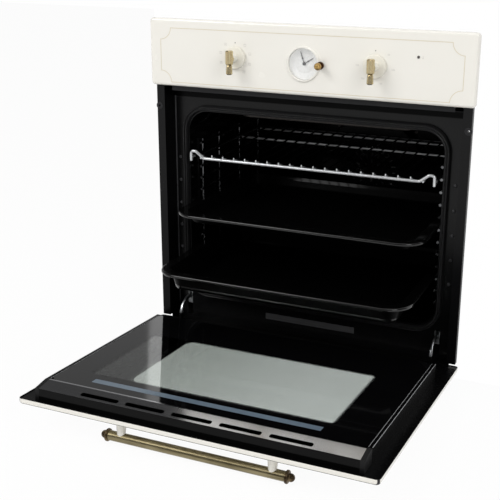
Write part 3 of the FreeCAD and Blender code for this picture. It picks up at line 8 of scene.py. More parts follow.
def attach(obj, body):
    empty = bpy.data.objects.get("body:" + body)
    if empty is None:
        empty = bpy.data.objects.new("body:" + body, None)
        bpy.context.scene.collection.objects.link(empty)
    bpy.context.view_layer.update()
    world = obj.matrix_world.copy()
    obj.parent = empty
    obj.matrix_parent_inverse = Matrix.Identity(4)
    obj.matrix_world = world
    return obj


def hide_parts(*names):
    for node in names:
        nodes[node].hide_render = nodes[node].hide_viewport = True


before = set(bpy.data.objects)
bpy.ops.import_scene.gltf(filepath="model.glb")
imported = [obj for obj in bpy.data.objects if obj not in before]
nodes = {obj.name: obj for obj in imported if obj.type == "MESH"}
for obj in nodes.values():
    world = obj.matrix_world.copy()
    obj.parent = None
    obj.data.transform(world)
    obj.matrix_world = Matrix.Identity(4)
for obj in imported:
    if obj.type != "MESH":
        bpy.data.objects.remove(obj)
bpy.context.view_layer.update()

# Places taken from the part's own sizes, in metres. The door's pieces are drawn shut and then laid open.
PANEL_FACE = -0.022
PANEL_TOP = 0.5875
KNOB_X = 0.1275
KNOB_Z = 0.5255
CLOCK_Z = 0.5215
DIAL_FLAT = -0.015
LED_X = 0.200
LED_Z = 0.5445
DOOR_FOOT = -0.0075
DOOR_TOP = 0.4633
PANE_FACE = 0.0113
BAR_Y = -0.057
BAR_Z = 0.438 + DOOR_FOOT
BAR_END = 0.149
SHELF_WIRES = 20
SHELF_REACH = 0.212
SHELF_FRONT = 0.005
SHELF_Z = 0.3311
PLATE_FACE = 0.023
RIB_X = 0.2722
RIVETS = 5
RIVET_X = 0.264
RIVET_LOW = 0.146
RIVET_PITCH = 0.0448
GASKET_X = 0.254
GASKET_Z = 0.239
GASKET_TALL = 0.1885
HINGE_X = 0.249
ARM_END = 0.076
PIVOT = Vector((0.0, -0.017, 0.0025))
OPEN_TURN = Matrix.Rotation(math.radians(86), 4, "X")
OPEN = Matrix.Translation(PIVOT) @ OPEN_TURN @ Matrix.Translation(-PIVOT)
SHUT = OPEN.inverted()
FACE_FRONT = Matrix.Rotation(math.pi / 2, 4, "X")


def ink(red, green, blue):
    """A colour from its 0 to 255 screen values."""
    shades = [value / 255 for value in (red, green, blue)]
    return tuple(v / 12.92 if v <= 0.04045 else ((v + 0.055) / 1.055) ** 2.4 for v in shades) + (1.0,)


class Socket:
    """An output of a material's nodes. Sums on it add Math nodes, and node() adds any other node."""

    def __init__(self, tree, output=None):
        self.tree = tree
        self.output = output

    def node(self, kind, settings=None, values=None, out=0):
        made = self.tree.nodes.new("ShaderNode" + kind)
        for key, value in (settings or {}).items():
            setattr(made, key, value)
        for key, value in (values or {}).items():
            if isinstance(value, Socket):
                self.tree.links.new(value.output, made.inputs[key])
            else:
                made.inputs[key].default_value = value
        return Socket(self.tree, made.outputs[out] if made.outputs else None)

    def math(self, operation, *values):
        return self.node("Math", {"operation": operation}, dict(enumerate(values)))

    def __add__(self, other):
        return self.math("ADD", self, other)

    __radd__ = __add__

    def __sub__(self, other):
        return self.math("SUBTRACT", self, other)

    def __rsub__(self, other):
        return self.math("SUBTRACT", other, self)

    def __mul__(self, other):
        return self.math("MULTIPLY", self, other)

    __rmul__ = __mul__

    def __abs__(self):
        return self.math("ABSOLUTE", self)

    def at_least(self, other):
        return self.math("MAXIMUM", self, other)

    def at_most(self, other):
        return self.math("MINIMUM", self, other)

    def ramp(self, low, high, first=0.0, last=1.0):
        """Eases from first to last while the value goes from low to high."""
        steps = {0: self, 1: low, 2: high, 3: first, 4: last}
        return self.node("MapRange", {"interpolation_type": "SMOOTHSTEP"}, steps)

    def split(self):
        first = self.node("SeparateXYZ", None, {0: self})
        return [Socket(self.tree, output) for output in first.output.node.outputs]

    def place(self, stretch=(1, 1, 1), turn=(0, 0, 0), shift=(0, 0, 0)):
        """Object coordinates, stretched and turned for a pattern."""
        spot = self.node("TexCoord", out="Object")
        values = {"Vector": spot, "Location": shift, "Rotation": turn, "Scale": stretch}
        return self.node("Mapping", None, values)

    def shut_place(self):
        """Object coordinates of a piece of the door, as if the door were shut."""
        return self.place(turn=SHUT.to_euler(), shift=SHUT.to_translation()).split()

    def noise(self, scale, detail=2.0, stretch=(1, 1, 1)):
        values = {"Vector": self.place(stretch), "Scale": scale, "Detail": detail}
        return self.node("TexNoise", None, values)

    def mix(self, share, first, last):
        return self.node("Mix", {"data_type": "RGBA"}, {0: share, 6: first, 7: last}, out=2)

    def bump(self, height, strength, depth):
        return self.node("Bump", None, {"Height": height, "Strength": strength, "Distance": depth})

    def surface(self, **values):
        named = {key.replace("_", " "): value for key, value in values.items()}
        return self.node("BsdfPrincipled", None, named)


def finish(recipe):
    """Makes the material that a recipe describes, under the recipe's own name."""
    made = bpy.data.materials.new(recipe.__name__)
    made.use_nodes = True
    made.node_tree.nodes.clear()
    start = Socket(made.node_tree)
    start.node("OutputMaterial", None, {"Surface": recipe(start)})
    return made


# Enamels and paints

@finish
def cream_enamel(s):
    peel = s.noise(620, 1.0)
    tone = s.mix(s.noise(7), ink(243, 240, 231), ink(246, 243, 236))
    return s.surface(Base_Color=tone, Roughness=0.20 + 0.10 * s.noise(30), Coat_Weight=0.4,
                     Coat_Roughness=0.08, Normal=s.bump(peel, 0.05, 0.0003))


@finish
def door_cream(s):
    # The door's sheet is cream outside, and black inside its folded edges and on their cut edges.
    x, y, z = s.shut_place()
    fold = 0.0007
    within = (0.2975 - fold - abs(x)).at_most(z - DOOR_FOOT - fold).at_most(DOOR_TOP - fold - z)
    inside = (y + 0.0215).at_most(within).at_least(y + 0.0123).ramp(0.0, 0.0001)
    cream = s.mix(s.noise(7), ink(243, 240, 231), ink(246, 243, 236))
    tone = s.mix(inside, cream, ink(7, 7, 7))
    return s.surface(Base_Color=tone, Roughness=0.20 + 0.10 * s.noise(30), Coat_Weight=0.4 - 0.4 * inside,
                     Coat_Roughness=0.08, Normal=s.bump(s.noise(620, 1.0), 0.05, 0.0003))


@finish
def column_enamel(s):
    # The gloss fades towards the foot: a painted shade that darkens the columns' lower ends.
    x, y, z = s.place().split()
    tone = s.mix(s.noise(24, 4.0), ink(6, 6, 7), ink(10, 10, 11))
    return s.surface(Base_Color=tone, Roughness=0.5, Specular_IOR_Level=0.02,
                     Coat_Weight=z.ramp(-0.05, 0.45, 0.14, 0.36), Coat_Roughness=0.20,
                     Normal=s.bump(s.noise(900, 1.0), 0.05, 0.0003))


@finish
def rib_enamel(s):
    # The ribs and rivet heads are the plate's black enamel; this lighter grey is a painted highlight on them.
    tone = s.mix(s.noise(60, 3.0), ink(50, 50, 52), ink(62, 62, 64))
    return s.surface(Base_Color=tone, Roughness=0.24 + 0.10 * s.noise(200), Specular_IOR_Level=0.35)


@finish
def plate_enamel(s):
    # The strip at the top of the plate, behind the air outlet under the duct's lip, is painted near black and
    # matt: a painted shade under the lip.
    x, y, z = s.place().split()
    lip_shade_strip = z.ramp(0.4400, 0.4425, 0.0, 0.8)
    plate = s.mix(s.noise(24, 4.0), ink(9, 9, 10), ink(14, 14, 15))
    tone = s.mix(lip_shade_strip, plate, ink(2, 2, 2))
    return s.surface(Base_Color=tone, Roughness=0.5, Specular_IOR_Level=0.02,
                     Coat_Weight=0.42 - 0.42 * lip_shade_strip, Coat_Roughness=0.24,
                     Normal=s.bump(s.noise(900, 1.0), 0.05, 0.0003))


@finish
def cavity_enamel(s):
    fleck = s.noise(1100, 1.0).ramp(0.66, 0.72)
    tone = s.mix(fleck, ink(3, 3, 3), ink(18, 18, 20))
    return s.surface(Base_Color=tone, Roughness=0.14 + 0.10 * s.noise(18), Specular_IOR_Level=0.10,
                     Normal=s.bump(s.noise(160, 2.0), 0.06, 0.0004))


@finish
def tray_enamel(s):
    # A clear coat on the rolled rims, fading towards the back, and on the pan's front foot is a painted
    # highlight there; the walls stay matt.
    x, y, z = s.place().split()
    rim_highlight = z.ramp(0.1450, 0.1468) - z.ramp(0.1900, 0.2000) + z.ramp(0.2362, 0.2380)
    rim_highlight = rim_highlight * y.ramp(0.0800, 0.1800, 1.0, 0.2)
    # The pan's front foot gets a painted highlight band.
    foot = z.ramp(0.1225, 0.1245, 1.0, 0.0) * y.ramp(-0.1200, -0.1000, 1.0, 0.0)
    fleck = s.noise(1300, 1.0).ramp(0.68, 0.74)
    tone = s.mix(fleck, ink(4, 4, 4), ink(14, 14, 15))
    return s.surface(Base_Color=tone, Roughness=0.30 + 0.10 * s.noise(26), Specular_IOR_Level=0.04,
                     Coat_Weight=0.9 * rim_highlight + 0.8 * foot, Coat_Roughness=0.08,
                     Normal=s.bump(s.noise(240, 2.0), 0.06, 0.0003))


@finish
def door_black(s):
    tone = s.mix(s.noise(30, 4.0), ink(5, 5, 5), ink(9, 9, 10))
    return s.surface(Base_Color=tone, Roughness=0.22 + 0.10 * s.noise(60), Specular_IOR_Level=0.06,
                     Normal=s.bump(s.noise(1000, 1.0), 0.10, 0.0003))


@finish
def rail_steel(s):
    # The slotted face is polished steel, and the nose in front of it is black.
    x, y, z = s.shut_place()
    face = (0.4519 - z).at_most(y - 0.0048).ramp(0.0, 0.0004)
    grain = s.noise(220, 3.0, (0.03, 1.0, 1.0))
    tone = s.mix(face, ink(8, 8, 8), s.mix(grain, ink(166, 166, 168), ink(182, 182, 184)))
    return s.surface(Base_Color=tone, Metallic=face, Roughness=0.10 + 0.06 * grain, Specular_IOR_Level=0.10)


@finish
def duct_grey(s):
    tone = s.mix(s.noise(40, 3.0), ink(24, 24, 26), ink(34, 34, 36))
    return s.surface(Base_Color=tone, Roughness=0.45 + 0.12 * s.noise(70), Specular_IOR_Level=0.3)


# Metals

@finish
def galvanised_steel(s):
    cells = s.node("TexVoronoi", None, {"Vector": s.place(), "Scale": 60.0}, out="Color")
    spangle = s.node("SeparateColor", None, {0: cells})
    drift = s.noise(14, 3.0)
    tone = s.mix(0.65 * spangle + 0.35 * drift, ink(164, 168, 171), ink(204, 207, 208))
    return s.surface(Base_Color=tone, Metallic=0.9, Roughness=0.34 + 0.16 * spangle)


@finish
def dipped_steel(s):
    # Galvanised sheet, black towards its front edge.
    x, y, z = s.place().split()
    bare = y.ramp(0.0330, 0.0350)
    spangle = s.noise(60, 3.0)
    tone = s.mix(bare, ink(7, 7, 7), s.mix(spangle, ink(164, 168, 171), ink(204, 207, 208)))
    return s.surface(Base_Color=tone, Metallic=0.9 * bare, Roughness=0.34 + 0.16 * spangle,
                     Specular_IOR_Level=0.2)


@finish
def zinc_plate(s):
    tone = s.mix(s.noise(120, 3.0), ink(150, 152, 154), ink(204, 206, 208))
    return s.surface(Base_Color=tone, Metallic=1.0, Roughness=0.22 + 0.14 * s.noise(300))


@finish
def hook_steel(s):
    # The hooks are black near their pins and bright above.
    x, y, z = s.place().split()
    bright = z.ramp(0.021, 0.027)
    steel = s.mix(s.noise(120, 3.0), ink(158, 160, 162), ink(212, 214, 216))
    tone = s.mix(bright, ink(6, 6, 6), steel)
    return s.surface(Base_Color=tone, Metallic=bright, Roughness=0.22 + 0.14 * s.noise(300),
                     Specular_IOR_Level=0.1)


@finish
def shelf_chrome(s):
    # The long wires are painted darker than the bar in front and the cross bars below them: a painted shade
    # deeper in the oven.
    x, y, z = s.place().split()
    depth_shade = y.ramp(0.012, 0.024) * z.ramp(SHELF_Z - 0.0022, SHELF_Z - 0.0014)
    bright = s.mix(s.noise(90, 2.0), ink(192, 194, 196), ink(218, 219, 221))
    tone = s.mix(depth_shade, bright, ink(84, 84, 85))
    return s.surface(Base_Color=tone, Metallic=0.62 + 0.38 * depth_shade, Roughness=0.16 + 0.12 * s.noise(140))


@finish
def rack_chrome(s):
    # Chrome painted darker than the shelf's: a painted shade for the racks deep in the oven's sides.
    tone = s.mix(s.noise(90, 2.0), ink(96, 97, 99), ink(128, 129, 131))
    return s.surface(Base_Color=tone, Metallic=1.0, Roughness=0.14 + 0.12 * s.noise(140))


@finish
def element_steel(s):
    scale = s.noise(85, 4.0)
    tone = s.mix(scale, ink(52, 48, 46), ink(92, 88, 86))
    return s.surface(Base_Color=tone, Metallic=0.7, Roughness=0.42 + 0.22 * scale,
                     Normal=s.bump(s.noise(700, 2.0), 0.12, 0.0003))


@finish
def fan_steel(s):
    grain = s.noise(240, 3.0, (1.0, 1.0, 0.08))
    tone = s.mix(grain, ink(140, 142, 144), ink(186, 188, 190))
    return s.surface(Base_Color=tone, Metallic=1.0, Roughness=0.30 + 0.16 * grain)


@finish
def blower_aluminium(s):
    grain = s.noise(200, 3.0, (0.06, 1.0, 1.0))
    tone = s.mix(grain, ink(176, 178, 181), ink(214, 215, 217))
    return s.surface(Base_Color=tone, Metallic=1.0, Roughness=0.30 + 0.14 * grain)


@finish
def lever_brass(s):
    # The neck that holds the lever to its knob is cream like the knob.
    x, y, z = s.place().split()
    neck = y.ramp(-0.0415, -0.0410)
    grain = s.noise(900, 2.0, (1.0, 1.0, 0.03))
    brass = s.mix(grain, ink(190, 172, 130), ink(216, 200, 162))
    tone = s.mix(neck, brass, ink(238, 235, 224))
    return s.surface(Base_Color=tone, Metallic=1.0 - neck, Roughness=0.20 + 0.12 * grain)


@finish
def setter_brass(s):
    x, y, z = s.place().split()
    grain = s.noise(160, 3.0)
    gold = s.mix(grain, ink(168, 134, 76), ink(206, 172, 112))
    tone = s.mix(y.ramp(-0.0305, -0.0290), gold, ink(84, 60, 38))
    return s.surface(Base_Color=tone, Metallic=1.0, Roughness=0.24 + 0.14 * grain)


@finish
def antique_brass(s):
    streak = s.noise(420, 3.0, (0.03, 1.0, 1.0))
    cloud = s.noise(22, 4.0)
    worn = (0.7 * streak + 0.45 * cloud).ramp(0.35, 0.80)
    tone = s.mix(worn, ink(100, 91, 66), ink(158, 147, 116))
    return s.surface(Base_Color=tone, Metallic=1.0, Roughness=0.26 + 0.16 * streak)


@finish
def dark_bronze(s):
    cloud = s.noise(150, 4.0)
    tone = s.mix(cloud.ramp(0.30, 0.75), ink(58, 48, 36), ink(122, 106, 80))
    return s.surface(Base_Color=tone, Metallic=1.0, Roughness=0.30 + 0.16 * cloud)


# Plastics, rubber and the rest

@finish
def cream_plastic(s):
    tone = s.mix(s.noise(40), ink(238, 234, 221), ink(243, 239, 228))
    return s.surface(Base_Color=tone, Roughness=0.32 + 0.10 * s.noise(90),
                     Normal=s.bump(s.noise(1500), 0.04, 0.0002))


@finish
def black_plastic(s):
    tone = s.mix(s.noise(60), ink(10, 10, 11), ink(18, 18, 19))
    return s.surface(Base_Color=tone, Roughness=0.42 + 0.12 * s.noise(120), Specular_IOR_Level=0.25,
                     Normal=s.bump(s.noise(1800), 0.10, 0.0002))


@finish
def gasket_rubber(s):
    tone = s.mix(s.noise(90, 3.0), ink(22, 22, 23), ink(32, 32, 33))
    return s.surface(Base_Color=tone, Roughness=0.40 + 0.14 * s.noise(200), Specular_IOR_Level=0.50,
                     Normal=s.bump(s.noise(1600), 0.20, 0.0003))


@finish
def wool_mat(s):
    strands = s.noise(260, 6.0, (1.0, 0.35, 1.0))
    tone = s.mix(strands, ink(196, 184, 148), ink(232, 224, 198))
    return s.surface(Base_Color=tone, Roughness=0.86 + 0.10 * strands, Normal=s.bump(strands, 0.9, 0.003))


@finish
def dial_white(s):
    tone = s.mix(s.noise(80), ink(244, 244, 243), ink(249, 249, 248))
    return s.surface(Base_Color=tone, Roughness=0.40 + 0.10 * s.noise(160))


@finish
def hand_black(s):
    tone = s.mix(s.noise(400), ink(34, 34, 38), ink(50, 50, 55))
    return s.surface(Base_Color=tone, Roughness=0.36 + 0.10 * s.noise(600))


@finish
def lamp_ceramic(s):
    tone = s.mix(s.noise(120, 4.0), ink(222, 219, 210), ink(238, 236, 230))
    return s.surface(Base_Color=tone, Roughness=0.50 + 0.14 * s.noise(220))


@finish
def signal_lens(s):
    tone = s.mix(s.noise(900), ink(58, 52, 50), ink(82, 74, 71))
    return s.surface(Base_Color=tone, Roughness=0.10 + 0.08 * s.noise(700), Coat_Weight=0.6)


@finish
def border_gilt(s):
    tone = s.mix(s.noise(140, 3.0), ink(212, 201, 174), ink(228, 219, 198))
    return s.surface(Base_Color=tone, Metallic=0.10, Roughness=0.34 + 0.12 * s.noise(300))


@finish
def panel_print(s):
    tone = s.mix(s.noise(500, 3.0), ink(196, 193, 186), ink(214, 211, 204))
    return s.surface(Base_Color=tone, Roughness=0.42 + 0.10 * s.noise(300))


@finish
def tick_print(s):
    tone = s.mix(s.noise(500, 3.0), ink(116, 113, 106), ink(140, 137, 130))
    return s.surface(Base_Color=tone, Roughness=0.42 + 0.10 * s.noise(300))


@finish
def strip_print(s):
    fade = s.noise(34, 3.0, (0.4, 1.0, 1.0))
    tone = s.mix(fade, ink(84, 98, 112), ink(112, 128, 142))
    return s.surface(Base_Color=tone, Roughness=0.26 + 0.12 * s.noise(200))


@finish
def plate_foil(s):
    grain = s.noise(320, 3.0, (0.04, 1.0, 1.0))
    tone = s.mix(grain, ink(96, 96, 98), ink(124, 124, 126))
    return s.surface(Base_Color=tone, Metallic=0.5, Roughness=0.34 + 0.14 * grain)


# Glass

@finish
def window_tint(s):
    # The tint is a little denser towards the left.
    x, y, z = s.place().split()
    tone = s.mix(x.ramp(-0.20, 0.18) + 0.1 * s.noise(5), ink(198, 203, 199), ink(234, 238, 236))
    return s.surface(Base_Color=tone, Roughness=0.01 + 0.02 * s.noise(60), Transmission_Weight=1.0, IOR=1.45)


@finish
def clear_glass(s):
    tone = s.mix(s.noise(20), ink(248, 250, 250), ink(252, 253, 253))
    return s.surface(Base_Color=tone, Roughness=0.02 + 0.03 * s.noise(90), Alpha=0.07 + 0.02 * s.noise(40))


@finish
def lamp_frost(s):
    tone = s.mix(s.noise(60), ink(236, 238, 236), ink(246, 247, 246))
    return s.surface(Base_Color=tone, Roughness=0.18 + 0.12 * s.noise(140), Transmission_Weight=1.0, IOR=1.45)


@finish
def printed_pane(s):
    # The clear field is a rounded rectangle on the shut door. Its printed edge fades over 8 millimetres.
    x, y, z = s.shut_place()
    round_off = 0.004
    out_x = abs(x + 0.0115) - (0.2075 - round_off)
    out_z = abs(z - (0.272 + DOOR_FOOT)) - (0.104 - round_off)
    past = s.node("CombineXYZ", None, {0: out_x.at_least(0.0), 1: out_z.at_least(0.0)})
    corner = s.node("VectorMath", {"operation": "LENGTH"}, {0: past}, out="Value")
    edge = corner + out_x.at_least(out_z).at_most(0.0) - round_off
    clear = edge.ramp(-0.004, 0.004, 1.0, 0.0)
    smear = s.noise(16, 3.0)
    black = s.mix(smear, ink(5, 5, 6), ink(9, 9, 10))
    print_black = s.surface(Base_Color=black, Roughness=0.03 + 0.05 * smear)
    tint = s.mix(smear, ink(222, 226, 223), ink(225, 229, 226))
    glass = s.surface(Base_Color=tint, Roughness=0.01 + 0.02 * smear, Transmission_Weight=1.0, IOR=1.45)
    return s.node("MixShader", None, {0: clear, 1: print_black, 2: glass})


FINISH_OF = {
    cream_enamel: "control_panel clock_bezel handle_posts",
    door_cream: "door_outer_panel",
    column_enamel: "side_columns",
    plate_enamel: "front_plate",
    cavity_enamel: "cavity_shell fan_cover",
    tray_enamel: "baking_tray deep_pan",
    door_black: "door_carcass door_side_rails",
    rail_steel: "door_top_rail",
    duct_grey: "air_duct screw_grommets",
    galvanised_steel: "rear_panel top_cover control_chassis blower_housing hinge_receivers",
    dipped_steel: "base_panel side_panels",
    zinc_plate: "hinge_arms hinge_cases hinge_springs handle_screws",
    shelf_chrome: "wire_shelf",
    rack_chrome: "side_racks",
    element_steel: "grill_element ring_element bottom_element housing_screws",
    fan_steel: "fan_motor convection_fan blower_motor",
    blower_aluminium: "blower_wheel",
    lever_brass: "function_lever thermostat_lever",
    setter_brass: "clock_set_knob",
    antique_brass: "handle_bar",
    cream_plastic: "function_knob thermostat_knob",
    black_plastic: "terminal_block function_switch thermostat clock_movement rail_end_caps",
    gasket_rubber: "door_gasket",
    wool_mat: "insulation",
    dial_white: "clock_dial",
    hand_black: "hour_hand minute_hand",
    lamp_ceramic: "oven_lamp",
    signal_lens: "indicator_lens",
    window_tint: "window_glass",
    clear_glass: "clock_glass",
    lamp_frost: "lamp_lens",
    printed_pane: "inner_glass",
    dark_bronze: "handle_finials",
}
for coat, names in FINISH_OF.items():
    for name in names.split():
        for held in nodes[name].material_slots:
            held.material = coat


# Pieces added to the frame

def finished(name, bm, coat, body, sharp=35):
    """A piece at the origin from its bmesh, riding on a body."""
    mesh = bpy.data.meshes.new(name)
    bm.to_mesh(mesh)
    bm.free()
    mesh.polygons.foreach_set("use_smooth", [True] * len(mesh.polygons))
    mesh.set_sharp_from_angle(angle=math.radians(sharp))
    mesh.materials.append(coat)
    piece = bpy.data.objects.new(name, mesh)
    bpy.context.scene.collection.objects.link(piece)
    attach(piece, body)
    return piece


def lay_open(bm):
    bmesh.ops.transform(bm, matrix=OPEN, verts=bm.verts)


def raise_faces(bm, height):
    """Raises all faces towards the front, as a closed slab."""
    raised = bmesh.ops.extrude_face_region(bm, geom=bm.faces[:])["geom"]
    corners = [g for g in raised if isinstance(g, bmesh.types.BMVert)]
    bmesh.ops.translate(bm, vec=(0, -height, 0), verts=corners)
    bmesh.ops.recalc_face_normals(bm, faces=bm.faces)


def round_field(bm, matrix, radius, steps):
    """A flat square field, placed and stretched by a matrix, with round corners."""
    bmesh.ops.create_grid(bm, x_segments=1, y_segments=1, size=0.5, matrix=matrix)
    bmesh.ops.bevel(bm, geom=bm.verts[:], offset=radius, offset_type="OFFSET", segments=steps, profile=0.5,
                    affect="VERTICES", material=-1)


def bar(bm, middle, size, turn=0.0, about=None):
    """A thin printed bar on a face that looks forward, turned clockwise about a point."""
    middle = Vector(middle)
    about = middle if about is None else Vector(about)
    swing = Matrix.Rotation(math.radians(turn), 4, "Y") @ Matrix.Translation(middle - about)
    shape = Matrix.Diagonal((size[0], size[1], size[2], 1.0))
    bmesh.ops.create_cube(bm, size=1.0, matrix=Matrix.Translation(about) @ swing @ shape)


def figure(bm, text, middle, height, thick=0.0001):
    """A number standing on a face that looks forward."""
    outline = bpy.data.curves.new("figure", "FONT")
    outline.body = text
    outline.size = height
    outline.align_x = "CENTER"
    outline.align_y = "CENTER"
    outline.extrude = thick
    holder = bpy.data.objects.new("figure", outline)
    mesh = bpy.data.meshes.new_from_object(holder)
    mesh.transform(Matrix.Translation(Vector(middle)) @ FACE_FRONT)
    bm.from_mesh(mesh)
    bpy.data.objects.remove(holder)


def clock_round(centre, radius, degrees):
    """The point at an angle clockwise from the top of a circle on the panel."""
    turn = math.radians(degrees)
    return (centre[0] + radius * math.sin(turn), centre[1], centre[2] + radius * math.cos(turn))


def panel_border():
    """Hairline with hollow corners round the control panel."""
    half, tall = 0.276, 0.04875
    hollow = 0.0205
    line = 0.0011
    bm = bmesh.new()
    start = bm.verts.new((half - hollow, 0.0, tall))
    bmesh.ops.spin(bm, geom=[start], cent=(half, 0.0, tall), axis=(0, 1, 0), angle=-math.pi / 2, steps=10)
    bmesh.ops.mirror(bm, geom=bm.verts[:] + bm.edges[:], axis="X", merge_dist=-1.0)
    bmesh.ops.mirror(bm, geom=bm.verts[:] + bm.edges[:], axis="Z", merge_dist=-1.0)
    ends = [v for v in bm.verts if len(v.link_edges) == 1]
    for first in ends:
        for last in ends:
            across = (last.co - first.co).to_tuple(4)
            level = across[0] > 0 and across[2] == 0 and abs(first.co.z) > tall - line
            upright = across[2] > 0 and across[0] == 0 and abs(first.co.x) > half - line
            if level or upright:
                bm.edges.new((first, last))
    field = bmesh.ops.contextual_create(bm, geom=bm.edges[:])["faces"]
    bmesh.ops.inset_individual(bm, faces=field, thickness=line, use_even_offset=True)
    bmesh.ops.delete(bm, geom=field, context="FACES_ONLY")
    raise_faces(bm, 0.00012)
    bmesh.ops.translate(bm, vec=(0, PANEL_FACE, PANEL_TOP - 0.016 - tall), verts=bm.verts)
    finished("panel_border", bm, border_gilt, "housing")


def panel_symbols():
    """Pale oven signs round the left knob, numbers round the right one, and the lamp's small sign."""
    face = PANEL_FACE - 0.00006
    thin = 0.00012
    bm = bmesh.new()
    signs = {40: "top", 75: "low", 110: "both", 145: "fan", 215: "fan low", 250: "top fan", 285: "top low",
             320: "lamp"}
    left = (-KNOB_X, face, KNOB_Z)
    for angle, marks in signs.items():
        x, y, z = clock_round(left, 0.029, angle)
        for dx, dz, w, h in ((0, 0.002, 0.0046, 0.0004), (0, -0.002, 0.0046, 0.0004),
                             (-0.0021, 0, 0.0004, 0.0044), (0.0021, 0, 0.0004, 0.0044)):
            bar(bm, (x + dx, y, z + dz), (w, thin, h))
        if "top" in marks or "both" in marks:
            bar(bm, (x, y, z + 0.0011), (0.0028, thin, 0.0005))
        if "low" in marks or "both" in marks:
            bar(bm, (x, y, z - 0.0011), (0.0028, thin, 0.0005))
        if "fan" in marks:
            for turn in (45, 135):
                bar(bm, (x, y, z), (0.0024, thin, 0.0005), turn)
        if "lamp" in marks:
            bar(bm, (x, y, z), (0.0014, thin, 0.0014), 45)
    right = (KNOB_X, face, KNOB_Z)
    degrees = ((48.5, "50", 0.030), (98, "100", 0.031), (160, "150", 0.030), (224, "200", 0.030),
               (270, "250", 0.031))
    for angle, number, radius in degrees:
        figure(bm, number, clock_round(right, radius, angle), 0.0042, thin / 2)
    bar(bm, (LED_X + 0.0075, face, LED_Z + 0.0004), (0.0006, thin, 0.0034))
    bar(bm, (LED_X + 0.0075, face, LED_Z - 0.0016), (0.0015, thin, 0.0015), 45)
    finished("panel_symbols", bm, panel_print, "housing")


def zero_ticks():
    """Darker start marks above the two knobs."""
    bm = bmesh.new()
    for x in (-KNOB_X, KNOB_X):
        spot = Matrix.Translation((x, PANEL_FACE, KNOB_Z + 0.0255)) @ FACE_FRONT
        bmesh.ops.create_circle(bm, cap_ends=True, segments=20, radius=0.0010, matrix=spot)
    raise_faces(bm, 0.00014)
    finished("zero_ticks", bm, tick_print, "housing")


def dial_marks():
    """Minute ticks on the dial's raised rim and hour numbers on its flat."""
    bm = bmesh.new()
    flat = DIAL_FLAT - 0.00006
    centre = (0.0, flat, CLOCK_Z)
    for minute in range(60):
        hour = minute % 5 == 0
        reach = 0.0148 if hour else 0.0154
        size = (0.00055 if hour else 0.0003, 0.00012, 0.0022 if hour else 0.0010)
        bar(bm, (0.0, flat, CLOCK_Z + reach), size, minute * 6, centre)
    for hour in range(1, 13):
        figure(bm, str(hour), clock_round(centre, 0.0116, hour * 30), 0.0030, 0.00006)
    finished("dial_marks", bm, panel_print, "housing")


def handle_ends():
    """Turned ends of the handle bar: a collar, a hollow neck and a ball."""
    bm = bmesh.new()
    profile = ((0.0, 0.0), (0.0, 0.0092), (0.0006, 0.0101), (0.0016, 0.0104), (0.0030, 0.0104),
               (0.0039, 0.0099), (0.0044, 0.0090), (0.0046, 0.0074), (0.0052, 0.0064), (0.0058, 0.0062))
    turned = [bm.verts.new((BAR_END + x, BAR_Y, BAR_Z + r)) for x, r in profile]
    for first, last in zip(turned, turned[1:]):
        bm.edges.new((first, last))
    ball = 0.0064
    seat = BAR_END + 0.0075
    tip = bm.verts.new((seat + ball, BAR_Y, BAR_Z))
    arc = bmesh.ops.spin(bm, geom=[tip], cent=(seat, BAR_Y, BAR_Z), axis=(0, 1, 0),
                         angle=-math.radians(100), steps=10)
    last = [g for g in arc["geom_last"] if isinstance(g, bmesh.types.BMVert)][0]
    bm.edges.new((turned[-1], last))
    bmesh.ops.spin(bm, geom=bm.verts[:] + bm.edges[:], cent=(0, BAR_Y, BAR_Z), axis=(1, 0, 0),
                   angle=2 * math.pi, steps=40, use_merge=True)
    bmesh.ops.remove_doubles(bm, verts=bm.verts, dist=1e-6)
    bmesh.ops.mirror(bm, geom=bm.verts[:] + bm.edges[:] + bm.faces[:], axis="X", merge_dist=-1.0)
    bmesh.ops.recalc_face_normals(bm, faces=bm.faces)
    lay_open(bm)
    piece = finished("turned_handle_ends", bm, dark_bronze, "door")
    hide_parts("handle_finials")


def rod(bm, start, end, thick):
    """A round wire from one point to another, with a round end."""
    along = end - start
    lean = along.to_track_quat("Z", "Y").to_matrix().to_4x4()
    bmesh.ops.create_cone(bm, cap_ends=True, segments=12, radius1=thick, radius2=thick, depth=along.length,
                          matrix=Matrix.Translation((start + end) / 2) @ lean)
    bmesh.ops.create_uvsphere(bm, u_segments=12, v_segments=8, radius=thick,
                              matrix=Matrix.Translation(end) @ lean)


def shelf_wire_ends():
    """Ends of the shelf's long wires, turned up behind its front bar."""
    bm = bmesh.new()
    for i in range(SHELF_WIRES):
        foot = Vector((SHELF_REACH * (2 * i / (SHELF_WIRES - 1) - 1), SHELF_FRONT + 0.0020, SHELF_Z))
        rod(bm, foot, foot + Vector((0.0, 0.0, 0.0052)), 0.0015)
    finished("shelf_wire_ends", bm, shelf_chrome, "shelf")


def plate_ribs():
    """Pressed ribs up both sides of the front plate, and the round heads of its rivets."""
    bm = bmesh.new()
    for x in (-1, 1):
        low = Vector((RIB_X * x, PLATE_FACE, 0.030))
        rod(bm, low, low + Vector((0.0, 0.0, 0.411)), 0.0014)
        for i in range(RIVETS):
            spot = Matrix.Translation((RIVET_X * x, PLATE_FACE - 0.0007, RIVET_LOW + RIVET_PITCH * i))
            bmesh.ops.create_uvsphere(bm, u_segments=16, v_segments=8, radius=0.0034,
                                      matrix=spot @ Matrix.Diagonal((1.0, 0.45, 1.0, 1.0)))
    finished("plate_ribs", bm, rib_enamel, "housing")


def drawn_out(bm, edges, way):
    """Draws an outline out into walls, and gives the corners and edges of its far end."""
    grown = bmesh.ops.extrude_edge_only(bm, edges=edges)["geom"]
    corners = [g for g in grown if isinstance(g, bmesh.types.BMVert)]
    bmesh.ops.translate(bm, vec=way, verts=corners)
    return corners + [g for g in grown if isinstance(g, bmesh.types.BMEdge) and g.is_boundary]


